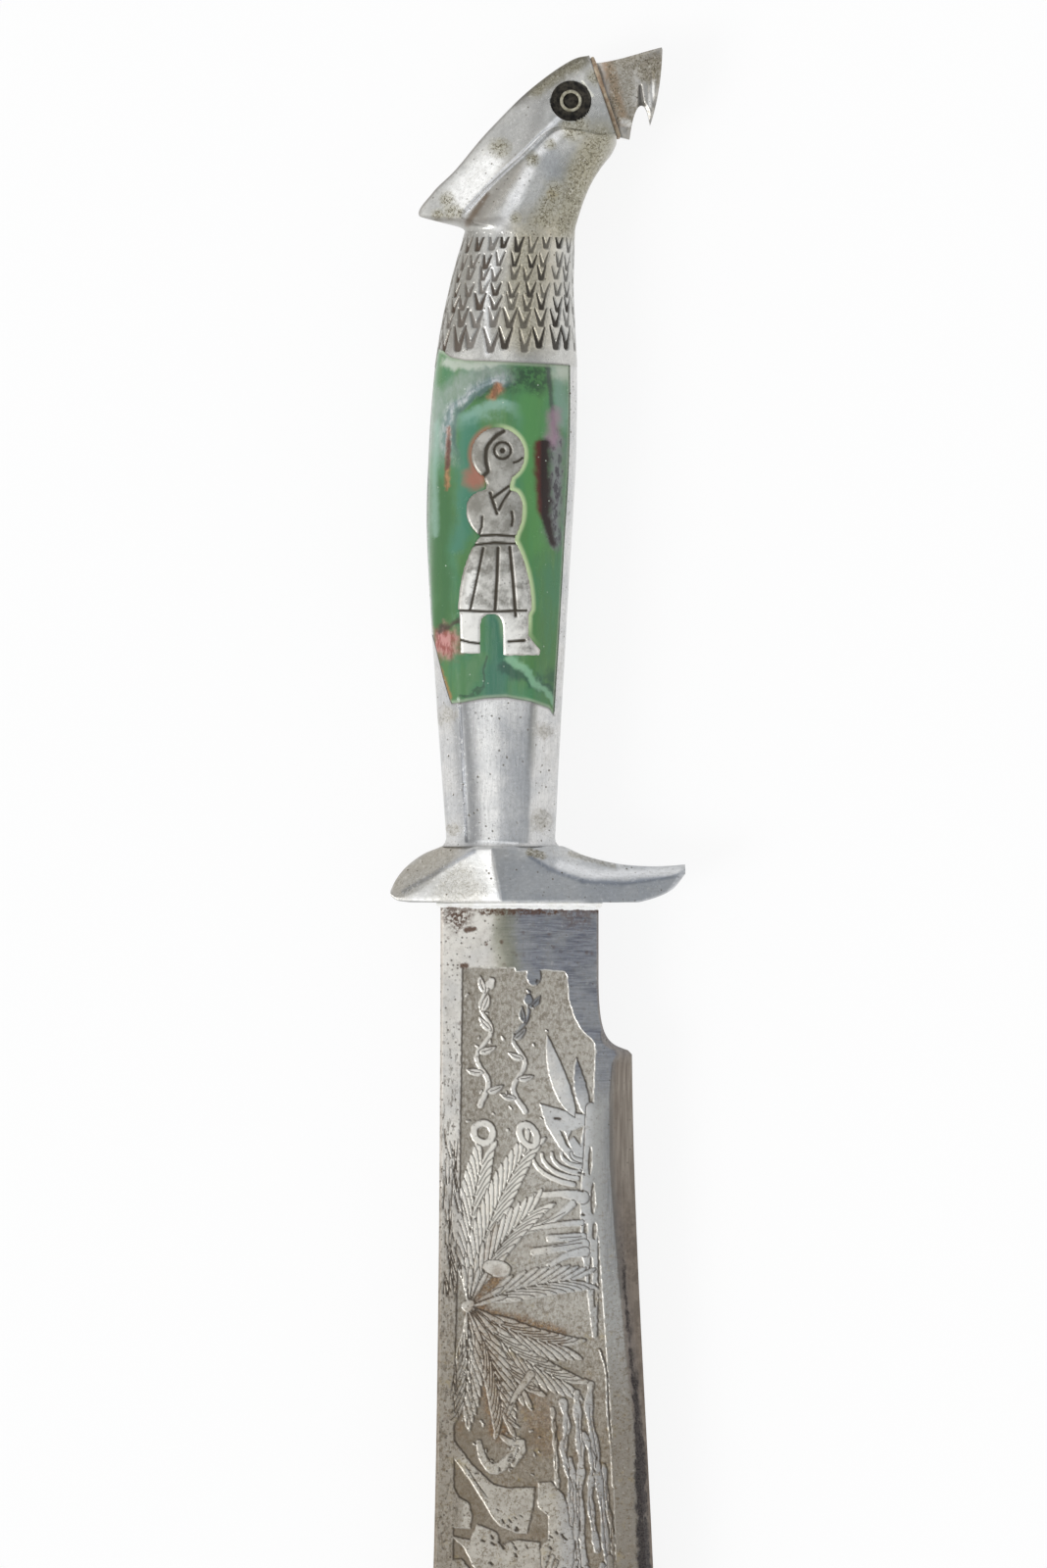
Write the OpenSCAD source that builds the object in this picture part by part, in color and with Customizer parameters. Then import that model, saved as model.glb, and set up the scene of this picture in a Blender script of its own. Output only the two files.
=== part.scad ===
// Engraved knife with a cast eagle-head hilt, millimetres.
// The knife lies on its side: +Y points to the pommel, +X to the cutting edge, +Z up out of the shown face.
// Everything is drawn about the foot of the guard, on the blade's middle plane, and set down on the floor last.

/* [Blade] */
// Blade from the guard to its point
blade_l = 205; // [170:1:240]
// Width of the blade where it leaves the guard
ricasso_w = 25; // [22:0.5:30]
// Thickness of the blade and its tang
blade_t = 3.6; // [2.6:0.1:4.4]
// Straight stretch of the ricasso before the choil
ricasso_l = 14; // [8:0.5:24]
// Length of the choil's sweep, and how far it steps out to the cutting edge
choil_l = 9.6; // [6:0.2:14]
choil_step = 5.3; // [3:0.1:8]
// How far the edge and the spine drift outwards before the clip
edge_flare = 4.4; // [1:0.1:8]
spine_flare = 2.4; // [0:0.1:4]
// Length of the clipped point, and how hollow the clip is
clip_l = 66; // [45:1:90]
clip_hollow = 4; // [1:0.2:7]
// Width of the ground edge bevel and of the swedge on the clip
bevel_w = 3.2; // [2:0.1:6]
swedge_w = 4; // [2:0.1:6]
// Thickness left at the cutting edge and along the swedge
edge_t = 0.3; // [0.2:0.05:0.8]
swedge_t = 1.4; // [0.8:0.1:2.2]

/* [Tang] */
// Length of the tang, and its width at the guard and at its end
tang_l = 97; // [80:1:104]
tang_w = 11; // [8:0.2:12]
tang_end_w = 6.5; // [5:0.1:8]
// Step from each flat of the blade down to the tang's
tang_step = 0.2; // [0.1:0.05:0.4]
// Radius of the two cross pins
pin_r = 1.5; // [1:0.1:2]

/* [Guard] */
// Height of the guard's block where the hilt stands on it
guard_h = 9.4; // [7:0.1:12]
// Solder between the guard and the blade's shoulders, and how far it swells out round them
solder_t = 0.5; // [0.3:0.1:0.8]
solder_swell = 0.6; // [0.3:0.1:0.8]
// Reach of the long quillon on the edge side and the short one on the spine side
long_reach = 26.2; // [22:0.2:34]
short_reach = 20.4; // [18:0.2:26]
// Half thickness at the ridge and at the two quillon tips
guard_half_t = 9.4; // [8.6:0.1:11]
long_tip_half_t = 2.6; // [1.8:0.1:4]
short_tip_half_t = 4.6; // [3:0.1:6]

/* [Hilt] */
// Length of the smooth collar, the inlaid grip and the scaled neck
collar_l = 22.4; // [16:0.2:28]
inlay_l = 53.4; // [48:0.2:64]
neck_l = 22; // [18:0.2:26]
// Width of the hilt at the guard, the collar's top, the swell, the neck's foot and the neck's top
collar_w = 17.1; // [15:0.1:20]
collar_top_w = 19.8; // [18:0.1:22]
swell_w = 23.3; // [21:0.1:26]
neck_foot_w = 22.4; // [20:0.1:24]
neck_top_w = 17.2; // [15:0.1:19]
// Half thickness of the hilt at the same places
collar_half_t = 7.4; // [6.4:0.1:8.4]
swell_half_t = 8.7; // [7.8:0.1:9.6]
neck_foot_half_t = 8.2; // [7.4:0.1:9]
neck_top_half_t = 7; // [6:0.1:8]

/* [Inlay] */
// Half thickness of the core that carries the tang
core_half_t = 4.4; // [3.6:0.1:5]
// Half thickness of the thin metal fin left along the spine side
fin_half_t = 1.2; // [0.8:0.1:2]
// Metal left beside the inlay on the edge side
wall_w = 1.1; // [0.8:0.1:2]
// Size of the cast figure, as a share of its drawn size
figure_size = 1; // [0.85:0.01:1.05]
// Radius and depth of the figure's mounting peg
peg_r = 1.2; // [0.8:0.1:1.5]
peg_l = 1.4; // [1:0.1:2]

/* [Head] */
// Half thickness of the face along its lower ridge, and of the crest along its back edge
face_half_t = 5.6; // [5:0.1:6.4]
crest_back_half_t = 2.4; // [1.8:0.1:3.2]
// Eye socket, eyelet and pupil radii, and depth of the socket
socket_r = 3.2; // [2.6:0.1:3.4]
eyelet_r = 1.7; // [1.4:0.1:2]
pupil_r = 1.15; // [0.8:0.05:1.3]
socket_d = 0.9; // [0.5:0.1:1.4]
// Beak: half thickness at the seam and at its front edge
beak_root_half_t = 3.6; // [3:0.1:4.4]
beak_front_half_t = 1.7; // [1.2:0.1:2.4]
// Thickness of the brazed seam
seam_t = 0.7; // [0.4:0.1:1.2]

/* [Hidden] */

// Gap round pieces that fit each other, bedding round the tang, and how far a cut runs past a face
fit = 0.05;
bed_gap = 0.45;
over = 1;
// Heights of the hilt's joints above the guard's foot
collar_top = guard_h + collar_l;
neck_foot = collar_top + inlay_l;
neck_top = neck_foot + neck_l;
// Centres of the hilt at its stations: it leans to the spine side and comes back at the neck
collar_x = -3;
collar_top_x = -3.2;
swell_x = -3.2;
shoulder_x = -2.7;
neck_foot_x = -2.1;
neck_mid_x = -1.3;
neck_top_x = 0.2;
tang_x = -2.8;
// Places along the blade
clip_y = -(blade_l - clip_l);
choil_y = -(ricasso_l + choil_l);
ricasso_half_w = ricasso_w / 2;
edge_x = ricasso_half_w + choil_step;
spine_x = -ricasso_half_w;
belly_x = edge_x + edge_flare;
horn_x = spine_x - spine_flare;
point_x = 7;
belly_y = clip_y - 12;
// The head's own frame stands at the neck's top; its seam with the beak leans out from there
head_at = [neck_top_x, neck_top];
seam_at = [13, 20.7];
seam_turn = 18.4;
seam_half_l = 6.8;
eye_at = [7.9, 20];
beak_l = 11.3;
beak_rise = 4.6;
// The knife lies on the guard's ridge, and the middle of its box's foot is the origin
rest_h = guard_half_t;
mid_x = (long_reach - short_reach) / 2;
beak_top = neck_top + seam_at[1] + beak_l * sin(seam_turn) + beak_rise * cos(seam_turn);
mid_y = (beak_top - blade_l) / 2;

// Smooth curve through rows of [s, a, b, ...]: column c at s
function row_before(keys, s, i = 0) = i >= len(keys) - 2 || s < keys[i + 1][0] ? i : row_before(keys, s, i + 1);
function row_slope(keys, i, c) = let (a = max(i - 1, 0), b = min(i + 1, len(keys) - 1))
    (keys[b][c] - keys[a][c]) / (keys[b][0] - keys[a][0]);
function along(keys, s, c) = let (
    i = row_before(keys, s),
    h = keys[i + 1][0] - keys[i][0],
    u = (s - keys[i][0]) / h,
    u2 = u * u,
    u3 = u2 * u)
    (2 * u3 - 3 * u2 + 1) * keys[i][c] + (u3 - 2 * u2 + u) * h * row_slope(keys, i, c)
    + (3 * u2 - 2 * u3) * keys[i + 1][c] + (u3 - u2) * h * row_slope(keys, i + 1, c);
function mix(a, b, u) = a + (b - a) * u;
function bend(p0, p1, p2, p3, u) = let (v = 1 - u)
    v * v * v * p0 + 3 * v * v * u * p1 + 3 * v * u * u * p2 + u * u * u * p3;
function arc_line(p0, p1, p2, p3, steps) = [for (i = [0:steps]) bend(p0, p1, p2, p3, i / steps)];

// Closed solid through rings of points: every ring has the same number of points, turning the same way
function middle(ring) = [for (q = ring) 1] * ring / len(ring);
function facing(ring) = let (m = middle(ring), n = len(ring))
    [for (q = ring) 1] * [for (j = [0:n - 1]) cross(ring[j] - m, ring[(j + 1) % n] - m)];
module loft(rings) {
    rows = len(rings);
    cols = len(rings[0]);
    points = [for (ring = rings) each ring];
    turned = facing(rings[0]) * (middle(rings[1]) - middle(rings[0])) > 0;
    foot = [for (j = [0:cols - 1]) j];
    head = [for (j = [cols - 1:-1:0]) (rows - 1) * cols + j];
    sides = [for (i = [0:rows - 2]) for (j = [0:cols - 1]) let (
        a = i * cols + j,
        b = i * cols + (j + 1) % cols)
        each [[a, b + cols, b], [a, a + cols, b + cols]]];
    faces = concat([foot], sides, [head]);
    polyhedron(points = points, convexity = 6,
        faces = turned ? faces : [for (f = faces) [for (j = [len(f) - 1:-1:0]) f[j]]]);
}

// Blade outline, from the ricasso down the edge, round the point and back up the spine
function choil_line() = arc_line([ricasso_half_w, -ricasso_l + 2], [ricasso_half_w + 0.1, choil_y + 2.6],
    [ricasso_half_w + 1.4, choil_y + 1.6], [edge_x - 0.7, choil_y + 0.7], 12);
function edge_line() = arc_line([edge_x, choil_y], [edge_x + 0.5, 0.5 * clip_y],
    [belly_x, 0.72 * clip_y], [belly_x, belly_y], 14);
function belly_line() = arc_line([belly_x, belly_y], [belly_x, belly_y - 0.5 * clip_l],
    [point_x + 8, -blade_l + 7], [point_x, -blade_l], 20);
function clip_line() = arc_line([point_x, -blade_l], [point_x - 7 + clip_hollow, -blade_l + 22],
    [horn_x + 4 + clip_hollow, clip_y - 22], [horn_x, clip_y], 16);
function spine_line() = arc_line([horn_x, clip_y], [horn_x + 0.5, 0.9 * clip_y],
    [spine_x - 0.2, 0.75 * clip_y], [spine_x, 0], 12);
function but_first(line) = [for (i = [1:len(line) - 1]) line[i]];
module blade_outline() {
    polygon(concat([[ricasso_half_w, 0]], choil_line(), edge_line(), but_first(belly_line()),
        but_first(clip_line()), but_first(spine_line())));
}

// A ground bevel: slopes the flat from a line inside the outline down to a thin edge along it
function end_point(line, i, j, reach) = line[i] + reach * (line[i] - line[j]) / norm(line[i] - line[j]);
function run_on(line, reach) = let (last = len(line) - 1)
    concat([end_point(line, 0, 1, reach)], line, [end_point(line, last, last - 1, reach)]);
module bevel_cut(outline, width, edge) {
    line = run_on(outline, 4);
    last = len(line) - 1;
    function inward(i) = let (d = line[min(i + 1, last)] - line[max(i - 1, 0)]) [d[1], -d[0]] / norm(d);
    slope = (blade_t - edge) / 2 / width;
    rise = 0.8 * slope;
    rings = [for (i = [0:last]) let (q = line[i] + (width + 0.8) * inward(i), o = line[i] - over * inward(i))
        [[q[0], q[1], blade_t / 2 + rise], [q[0], q[1], blade_t / 2 + 2 * over],
            [o[0], o[1], blade_t / 2 + 2 * over], [o[0], o[1], edge / 2 - over * slope]]];
    for (side = [0, 1]) mirror([0, 0, side]) loft(rings);
}

// The tang tapers from the guard to its end inside the neck
module tang_outline(gap, from) {
    function half_at(y) = mix(tang_w, tang_end_w, y / tang_l) / 2 + gap;
    polygon([[tang_x - half_at(from), from], [tang_x + half_at(from), from],
        [tang_x + half_at(tang_l), tang_l + gap], [tang_x - half_at(tang_l), tang_l + gap]]);
}
module tang_prism(gap, from) {
    thick = blade_t - 2 * tang_step + 2 * gap;
    translate([0, 0, -thick / 2]) linear_extrude(thick) tang_outline(gap, from);
}

// Heights of the two cross pins: one low in the grip, one high in it
pin_heights = [collar_top + 4, neck_foot - 4.8];
module cross_pin(radius, half_l, which) {
    translate([tang_x, pin_heights[which], 0]) cylinder(r = radius, h = 2 * half_l, center = true, $fn = 32);
}

module blade() {
    color("lightslategray") difference() {
        union() {
            translate([0, 0, -blade_t / 2]) linear_extrude(blade_t) blade_outline();
            tang_prism(0, -over);
        }
        bevel_cut(concat(edge_line(), but_first(belly_line())), bevel_w, edge_t);
        bevel_cut(clip_line(), swedge_w, swedge_t);
        for (which = [0, 1]) cross_pin(pin_r + fit, blade_t, which);
    }
}

// Bright solder that fills the seat between the blade's shoulders and the guard
module root_solder() {
    color("gainsboro") difference() {
        translate([-ricasso_half_w - solder_swell, 0, -blade_t / 2 - solder_swell])
            cube([ricasso_w + 2 * solder_swell, solder_t, blade_t + 2 * solder_swell]);
        tang_prism(fit, -over);
    }
}

// Guard stations: place along the quillons, then foot, ridge and top heights, and the top's share of thickness
guard_keys = [
    [-short_reach, 1.7, 1.9, 2.3, 0.5],
    [-0.95 * short_reach, 0.9, 1.4, 5, 0.5],
    [-0.88 * short_reach, 0.6, 1.6, 6.9, 0.5],
    [-0.76 * short_reach, 0.3, 2.8, 8.2, 0.55],
    [-0.62 * short_reach, -0.1, 4.9, guard_h + 0.2, 0.65],
    [collar_x - 3.8, -0.4, guard_h - 0.6, guard_h + 0.4, 0.92],
    [collar_x + 4.2, -0.4, guard_h - 1.2, guard_h + 0.4, 0.92],
    [0.2 * long_reach, -0.4, 5.6, guard_h + 0.4, 0.75],
    [0.28 * long_reach, -0.4, 4.8, guard_h, 0.6],
    [0.4 * long_reach, -0.3, 4.1, 8, 0.5],
    [0.59 * long_reach, 0, 3.6, 6.8, 0.5],
    [0.78 * long_reach, 0.9, 4.3, 6.2, 0.5],
    [0.92 * long_reach, 2.5, 5.2, 6.2, 0.5],
    [long_reach, 5.9, 6.2, 6.5, 0.5]];
function guard_t(x) = x < collar_x ? mix(short_tip_half_t, guard_half_t, (x + short_reach) / (collar_x + short_reach))
    : mix(long_tip_half_t, guard_half_t, (long_reach - x) / (long_reach - collar_x));
function guard_ring(x) = let (
    foot = along(guard_keys, x, 1),
    ridge = along(guard_keys, x, 2),
    top = along(guard_keys, x, 3),
    t = guard_t(x),
    top_t = t * along(guard_keys, x, 4),
    side = [[foot, 0.9 * t], [mix(foot, ridge, 0.15), 0.99 * t], [ridge, t],
        [mix(ridge, top, 0.18), mix(t, top_t, 0.14)], [mix(ridge, top, 0.86), mix(t, top_t, 0.94)],
        [top, 0.84 * top_t]])
    concat([for (p = side) [x, p[0], p[1]]], [for (i = [5:-1:0]) [x, side[i][0], -side[i][1]]]);
short_steps = 13;
long_steps = 22;
module guard() {
    short_rings = [for (i = [0:short_steps]) guard_ring(mix(-short_reach, collar_x, i / short_steps))];
    long_rings = [for (i = [1:long_steps]) guard_ring(mix(collar_x, long_reach, i / long_steps))];
    color("silver") difference() {
        loft(concat(short_rings, long_rings));
        between(solder_t - 30, solder_t);
        between(guard_h, guard_h + 30);
        tang_prism(fit, -over);
    }
}

// Rounded octagon that the hilt's sections follow: a higher crispness gives sharper corners
octagon_reach = 1.56;
function octagon_radius(turn, crisp) = let (c = abs(cos(turn)), s = abs(sin(turn)))
    pow(pow(c, crisp) + pow(s, crisp) + pow((c + s) / octagon_reach, crisp)
        + pow(abs(c - s) / octagon_reach, crisp), -1 / crisp);

// Stations of the hilt: height, centre, width, half thickness, crispness
hilt_keys = [
    [guard_h, collar_x, collar_w, collar_half_t, 9],
    [collar_top, collar_top_x, collar_top_w, mix(collar_half_t, swell_half_t, 0.6), 9],
    [mix(collar_top, neck_foot, 0.46), swell_x, 0.975 * swell_w, swell_half_t, 8],
    [mix(collar_top, neck_foot, 0.74), shoulder_x, swell_w, 0.99 * swell_half_t, 7],
    [neck_foot, neck_foot_x, neck_foot_w, neck_foot_half_t, 6],
    [mix(neck_foot, neck_top, 0.54), neck_mid_x, mix(neck_foot_w, neck_top_w, 0.5),
        mix(neck_foot_half_t, neck_top_half_t, 0.4), 5],
    [neck_top, neck_top_x, neck_top_w, neck_top_half_t, 4]];
hilt_pitch = 3.07;
hilt_points = 36;
function hilt_ring(y) = let (
    x = along(hilt_keys, y, 1),
    half_w = along(hilt_keys, y, 2) / 2,
    half_t = along(hilt_keys, y, 3),
    crisp = along(hilt_keys, y, 4),
    full = octagon_radius(0, crisp))
    [for (k = [0:hilt_points - 1]) let (turn = -360 * k / hilt_points, r = octagon_radius(turn, crisp) / full)
        [x + half_w * r * cos(turn), y, half_t * r * sin(turn)]];
// The same rings serve every piece of the hilt, so their outer faces run on without a step
function hilt_rings(from, to) = [for (i = [floor((from - guard_h) / hilt_pitch):ceil((to - guard_h) / hilt_pitch)])
    hilt_ring(guard_h + i * hilt_pitch)];
module between(from, to) {
    translate([-60, from, -30]) cube([120, to - from, 60]);
}
function hilt_right(y) = along(hilt_keys, y, 1) + along(hilt_keys, y, 2) / 2;
function hilt_left(y) = along(hilt_keys, y, 1) - along(hilt_keys, y, 2) / 2;

// Inlay pocket outline: open to the spine side, walled on the edge side, cut a little into collar and neck
module pocket_outline(gap = 0) {
    right = [for (i = [0:8]) let (y = mix(collar_top - 1.8 + gap, neck_foot - 0.6, i / 8))
        [hilt_right(y) - wall_w - gap, y]];
    top = [[hilt_right(neck_foot) - wall_w - gap - 0.5, neck_foot + 0.2 - gap],
        [neck_foot_x, neck_foot + 0.6 - gap], [hilt_left(neck_foot) + 4.6, neck_foot + 0.9 - gap],
        [hilt_left(neck_foot) + 2.4, neck_foot + 1.4 - gap], [hilt_left(neck_foot) - 1, neck_foot + 4 - gap]];
    left = [[hilt_left(neck_foot) - 9, neck_foot + 4 - gap], [hilt_left(collar_top) - 9, collar_top + 12],
        [hilt_left(collar_top) - 1 + gap, collar_top + 12 + gap],
        [hilt_left(collar_top) + 1 + gap, collar_top + 4 + gap]];
    foot = [[hilt_left(collar_top) + 2.2 + gap, collar_top + 0.1 + gap],
        [hilt_left(collar_top) + 4.2, collar_top + 0.3 + gap],
        [collar_top_x - 2.5, collar_top + 0.9 + gap], [collar_top_x + 1, collar_top + 1.1 + gap],
        [collar_top_x + 5, collar_top + 0.4 + gap], [collar_top_x + 8, collar_top - 0.6 + gap]];
    polygon(concat(right, top, left, foot));
}
core_left = tang_x - tang_w / 2 - bed_gap - 1.2;
core_right = tang_x + tang_w / 2 + bed_gap + 1.2;
// Space that the resin fills on the front: a channel down to the fin, with the core standing in it
module pocket(gap = 0) {
    difference() {
        translate([0, 0, fin_half_t + gap]) linear_extrude(20) pocket_outline(gap);
        translate([core_left - gap, collar_top - 10, -over])
            cube([core_right - core_left + 2 * gap, inlay_l + 30, core_half_t + over + gap]);
    }
}

// Figure cast to stand in the inlay: a head, a bodice, a flared skirt, two legs and a shoe
figure_foot = [-3.3, collar_top + 7.7];
module figure_outline() {
    head = [for (i = [0:20]) let (turn = 298 - 296 * i / 20 - 60) [-0.1 + 4.3 * cos(turn), 31.7 + 4.3 * sin(turn)]];
    right = concat([[1.95, 26.9], [2, 26.2]], arc_line([3, 25.8], [4.1, 24.6], [4.4, 22], [3, 19.3], 6),
        arc_line([2.7, 18.1], [4.1, 15.6], [5.5, 11], [5.3, 7.3], 6));
    shoe = [[4.8, 6.4], [4.8, 3.2], [5.7, 2], [6.7, 0.9], [6.5, 0], [0.7, -0.1]];
    legs = concat([[0.5, 5]], arc_line([0.2, 5.8], [-0.5, 6.7], [-1.9, 6.7], [-2.6, 5.7], 4),
        [[-2.8, 4.9], [-2.8, 0.2], [-6.1, 0.2], [-6.3, 6.3]]);
    left = concat(arc_line([-6.5, 7.3], [-6.4, 11], [-5.2, 15.4], [-3.9, 17.6], 6), [[-3.1, 18.7]],
        arc_line([-4.2, 19.9], [-5.7, 22], [-5.8, 25], [-3.2, 25.9], 6), [[-2.1, 26.2], [-1.9, 26.9]]);
    polygon(concat(head, right, shoe, legs, left));
}
peg_places = [[-0.8, 22.6], [-0.6, 11.4]];
module placed_figure() {
    translate(figure_foot) scale(figure_size) figure_outline();
}
module figure_pegs(radius, length) {
    for (place = peg_places) translate(figure_foot + figure_size * place) translate([0, 0, core_half_t - length])
        cylinder(r = radius, h = length + 0.6, $fn = 48);
}
module figure_plate() {
    intersection() {
        translate([0, 0, core_half_t]) linear_extrude(20) placed_figure();
        loft(hilt_rings(collar_top, neck_foot));
    }
    figure_pegs(peg_r, peg_l);
}
module front_figure() color("darkgray") figure_plate();
module back_figure() color("darkgray") mirror([0, 0, 1]) figure_plate();

module inlay() {
    difference() {
        intersection() {
            loft(hilt_rings(collar_top - 3, neck_foot + 5));
            pocket(fit);
        }
        translate([0, 0, core_half_t - over]) linear_extrude(20) placed_figure();
    }
}
module front_inlay() color("seagreen") inlay();
module back_inlay() color("seagreen") mirror([0, 0, 1]) inlay();

module grip_frame() {
    color("silver") difference() {
        intersection() {
            loft(hilt_rings(guard_h, neck_foot));
            between(guard_h - over, neck_foot);
        }
        for (side = [0, 1]) mirror([0, 0, side]) {
            pocket();
            figure_pegs(peg_r + fit, peg_l + fit);
        }
        tang_prism(bed_gap, guard_h - over);
        for (which = [0, 1]) cross_pin(pin_r + fit, 2 * core_half_t, which);
    }
}
module tang_pin_lower() color("dimgray") cross_pin(pin_r, core_half_t, 0);
module tang_pin_upper() color("dimgray") cross_pin(pin_r, core_half_t, 1);
// Pitch that fills the slot between the tang and the hilt
module tang_bedding() {
    color("saddlebrown") difference() {
        tang_prism(bed_gap, guard_h);
        tang_prism(0, guard_h - over);
        for (which = [0, 1]) cross_pin(pin_r + fit, blade_t, which);
    }
}

// Head stations in its own frame: [s, back x, y, ridge x, y, front x, y, share of thickness at back, ridge, throat]
seam_up = [-sin(seam_turn), cos(seam_turn)];
seam_back = seam_at + (seam_half_l + 0.2) * seam_up;
seam_front = seam_at - seam_half_l * seam_up;
seam_ridge = mix(seam_back, seam_front, 0.96);
head_keys = [
    [0, -0.5 * neck_top_w, 0, -0.3 * neck_top_w, 0, 0.5 * neck_top_w, 0, 0.6, 1.1, 1],
    [1, -16, 1.8, -9.2, 1.3, 9.3, 2.2, 0.5, 0.88, 0.94],
    [2, -14, 5.6, -7.4, 3.9, 10.1, 4.6, 0.75, 0.93, 0.84],
    [3, -10.3, 9.4, -4.5, 6.9, 11.2, 7.1, 0.95, 0.98, 0.74],
    [4, -5, 15.6, 0.2, 11.1, 12.8, 9.6, 1.05, 1.02, 0.68],
    [5, -0.2, 20.5, 5.1, 14.6, 14.3, 11.5, 1.15, 1.04, 0.64],
    [6, 4.3, 24.2, 9.4, 14, 15, 12.9, 1.25, 1.02, 0.7],
    [7, 8.3, 26.7, 12.8, 13.7, 15.2, 13.6, 1.32, 0.96, 0.7],
    [8, seam_back[0], seam_back[1], seam_ridge[0], seam_ridge[1], seam_front[0], seam_front[1], 1.36, 0.9, 0.69]];
// One half of a head section, front to back: the rounded throat, then the crest standing proud of it
throat_points = 11;
function head_half(s) = let (
    back = [along(head_keys, s, 1), along(head_keys, s, 2)],
    ridge = [along(head_keys, s, 3), along(head_keys, s, 4)],
    front = [along(head_keys, s, 5), along(head_keys, s, 6)],
    back_t = crest_back_half_t * along(head_keys, s, 7),
    ridge_t = face_half_t * along(head_keys, s, 8),
    throat_t = neck_top_half_t * along(head_keys, s, 9),
    throat = [for (i = [0:throat_points]) let (turn = 90 * i / throat_points, u = pow(cos(turn), 0.75))
        let (q = mix(ridge, front, 0.02 + 0.98 * u)) [q[0], q[1], throat_t * pow(sin(turn), 0.75)]],
    crest = [for (p = [[0, ridge_t - 0.3 * (ridge_t - throat_t)], [0.05, ridge_t], [0.3, mix(ridge_t, back_t, 0.12)],
        [0.6, mix(ridge_t, back_t, 0.45)], [0.9, back_t], [1, 0.7 * back_t]])
        let (q = mix(ridge, back, p[0])) [q[0], q[1], p[1]]])
    concat(throat, crest, [[back[0], back[1], 0]]);
function head_ring(s) = let (half = head_half(s), n = len(half))
    concat([for (i = [0:n - 1]) [half[i][0], half[i][1], -half[i][2]]], [for (i = [n - 2:-1:1]) half[i]]);
// The neck's rings run on into the head's, all in the head's frame
function neck_rings() = [for (i = [floor((neck_foot - guard_h) / hilt_pitch):floor((neck_top - 0.8 - guard_h) / hilt_pitch)])
    [for (q = hilt_ring(guard_h + i * hilt_pitch)) q - [head_at[0], head_at[1], 0]]];
function neck_top_ring() = [for (q = hilt_ring(neck_top)) q - [head_at[0], head_at[1], 0]];
module head_form() {
    at_head() loft(concat(neck_rings(), [neck_top_ring()], [for (i = [2:16]) head_ring(i / 2)]));
}
eye_floor = 0.86 * face_half_t - socket_d;
module at_head() translate([head_at[0], head_at[1], 0]) children();
module at_seam() at_head() translate([seam_at[0], seam_at[1], 0]) rotate([0, 0, seam_turn]) children();
tenon = [3, 6, 3];
module beak_tenon(gap) {
    translate([-tenon[0] - gap, -tenon[1] / 2 - gap, -tenon[2] / 2 - gap])
        cube([tenon[0] + seam_t + over + gap, tenon[1] + 2 * gap, tenon[2] + 2 * gap]);
}
module eagle_head() {
    color("silver") difference() {
        intersection() {
            head_form();
            between(neck_foot, neck_top + 40);
        }
        for (side = [0, 1]) mirror([0, 0, side]) {
            pocket();
            at_head() translate([eye_at[0], eye_at[1], eye_floor]) cylinder(r = socket_r, h = 20, $fn = 48);
        }
        at_head() translate([eye_at[0], eye_at[1], 0])
            cylinder(r = eyelet_r + fit, h = 3 * face_half_t, center = true, $fn = 32);
        tang_prism(bed_gap, neck_foot - over);
        at_seam() beak_tenon(fit);
    }
}

// Black filling round the eyelet and in its bore, on both cheeks
module eye_enamel() {
    color("black") at_head() translate([eye_at[0], eye_at[1], 0]) for (side = [0, 1]) mirror([0, 0, side]) {
        translate([0, 0, eye_floor]) difference() {
            cylinder(r = socket_r - fit, h = 0.45 * socket_d, $fn = 48);
            translate([0, 0, -over]) cylinder(r = eyelet_r + fit, h = 2 * over + socket_d, $fn = 32);
        }
        translate([0, 0, eye_floor - 1]) cylinder(r = pupil_r - fit, h = 1 + 0.3 * socket_d, $fn = 32);
    }
}
module eye_eyelet() {
    rim = eye_floor + 0.75 * socket_d;
    color("lightgray") at_head() translate([eye_at[0], eye_at[1], 0]) difference() {
        cylinder(r = eyelet_r, h = 2 * rim, center = true, $fn = 32);
        cylinder(r = pupil_r, h = 2 * rim + 2 * over, center = true, $fn = 32);
    }
}

// Brass run in between the head and the beak
braze_half_t = beak_root_half_t + 0.4;
module beak_braze() {
    color("peru") at_seam() difference() {
        rotate([0, 90, 0]) linear_extrude(seam_t) polygon([
            [-braze_half_t + 1.6, seam_half_l - 0.3], [-braze_half_t, seam_half_l - 2], [-braze_half_t, 1.5 - seam_half_l],
            [-braze_half_t + 1, -seam_half_l], [braze_half_t - 1, -seam_half_l], [braze_half_t, 1.5 - seam_half_l],
            [braze_half_t, seam_half_l - 2], [braze_half_t - 1.6, seam_half_l - 0.3]]);
        beak_tenon(0);
    }
}

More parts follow.
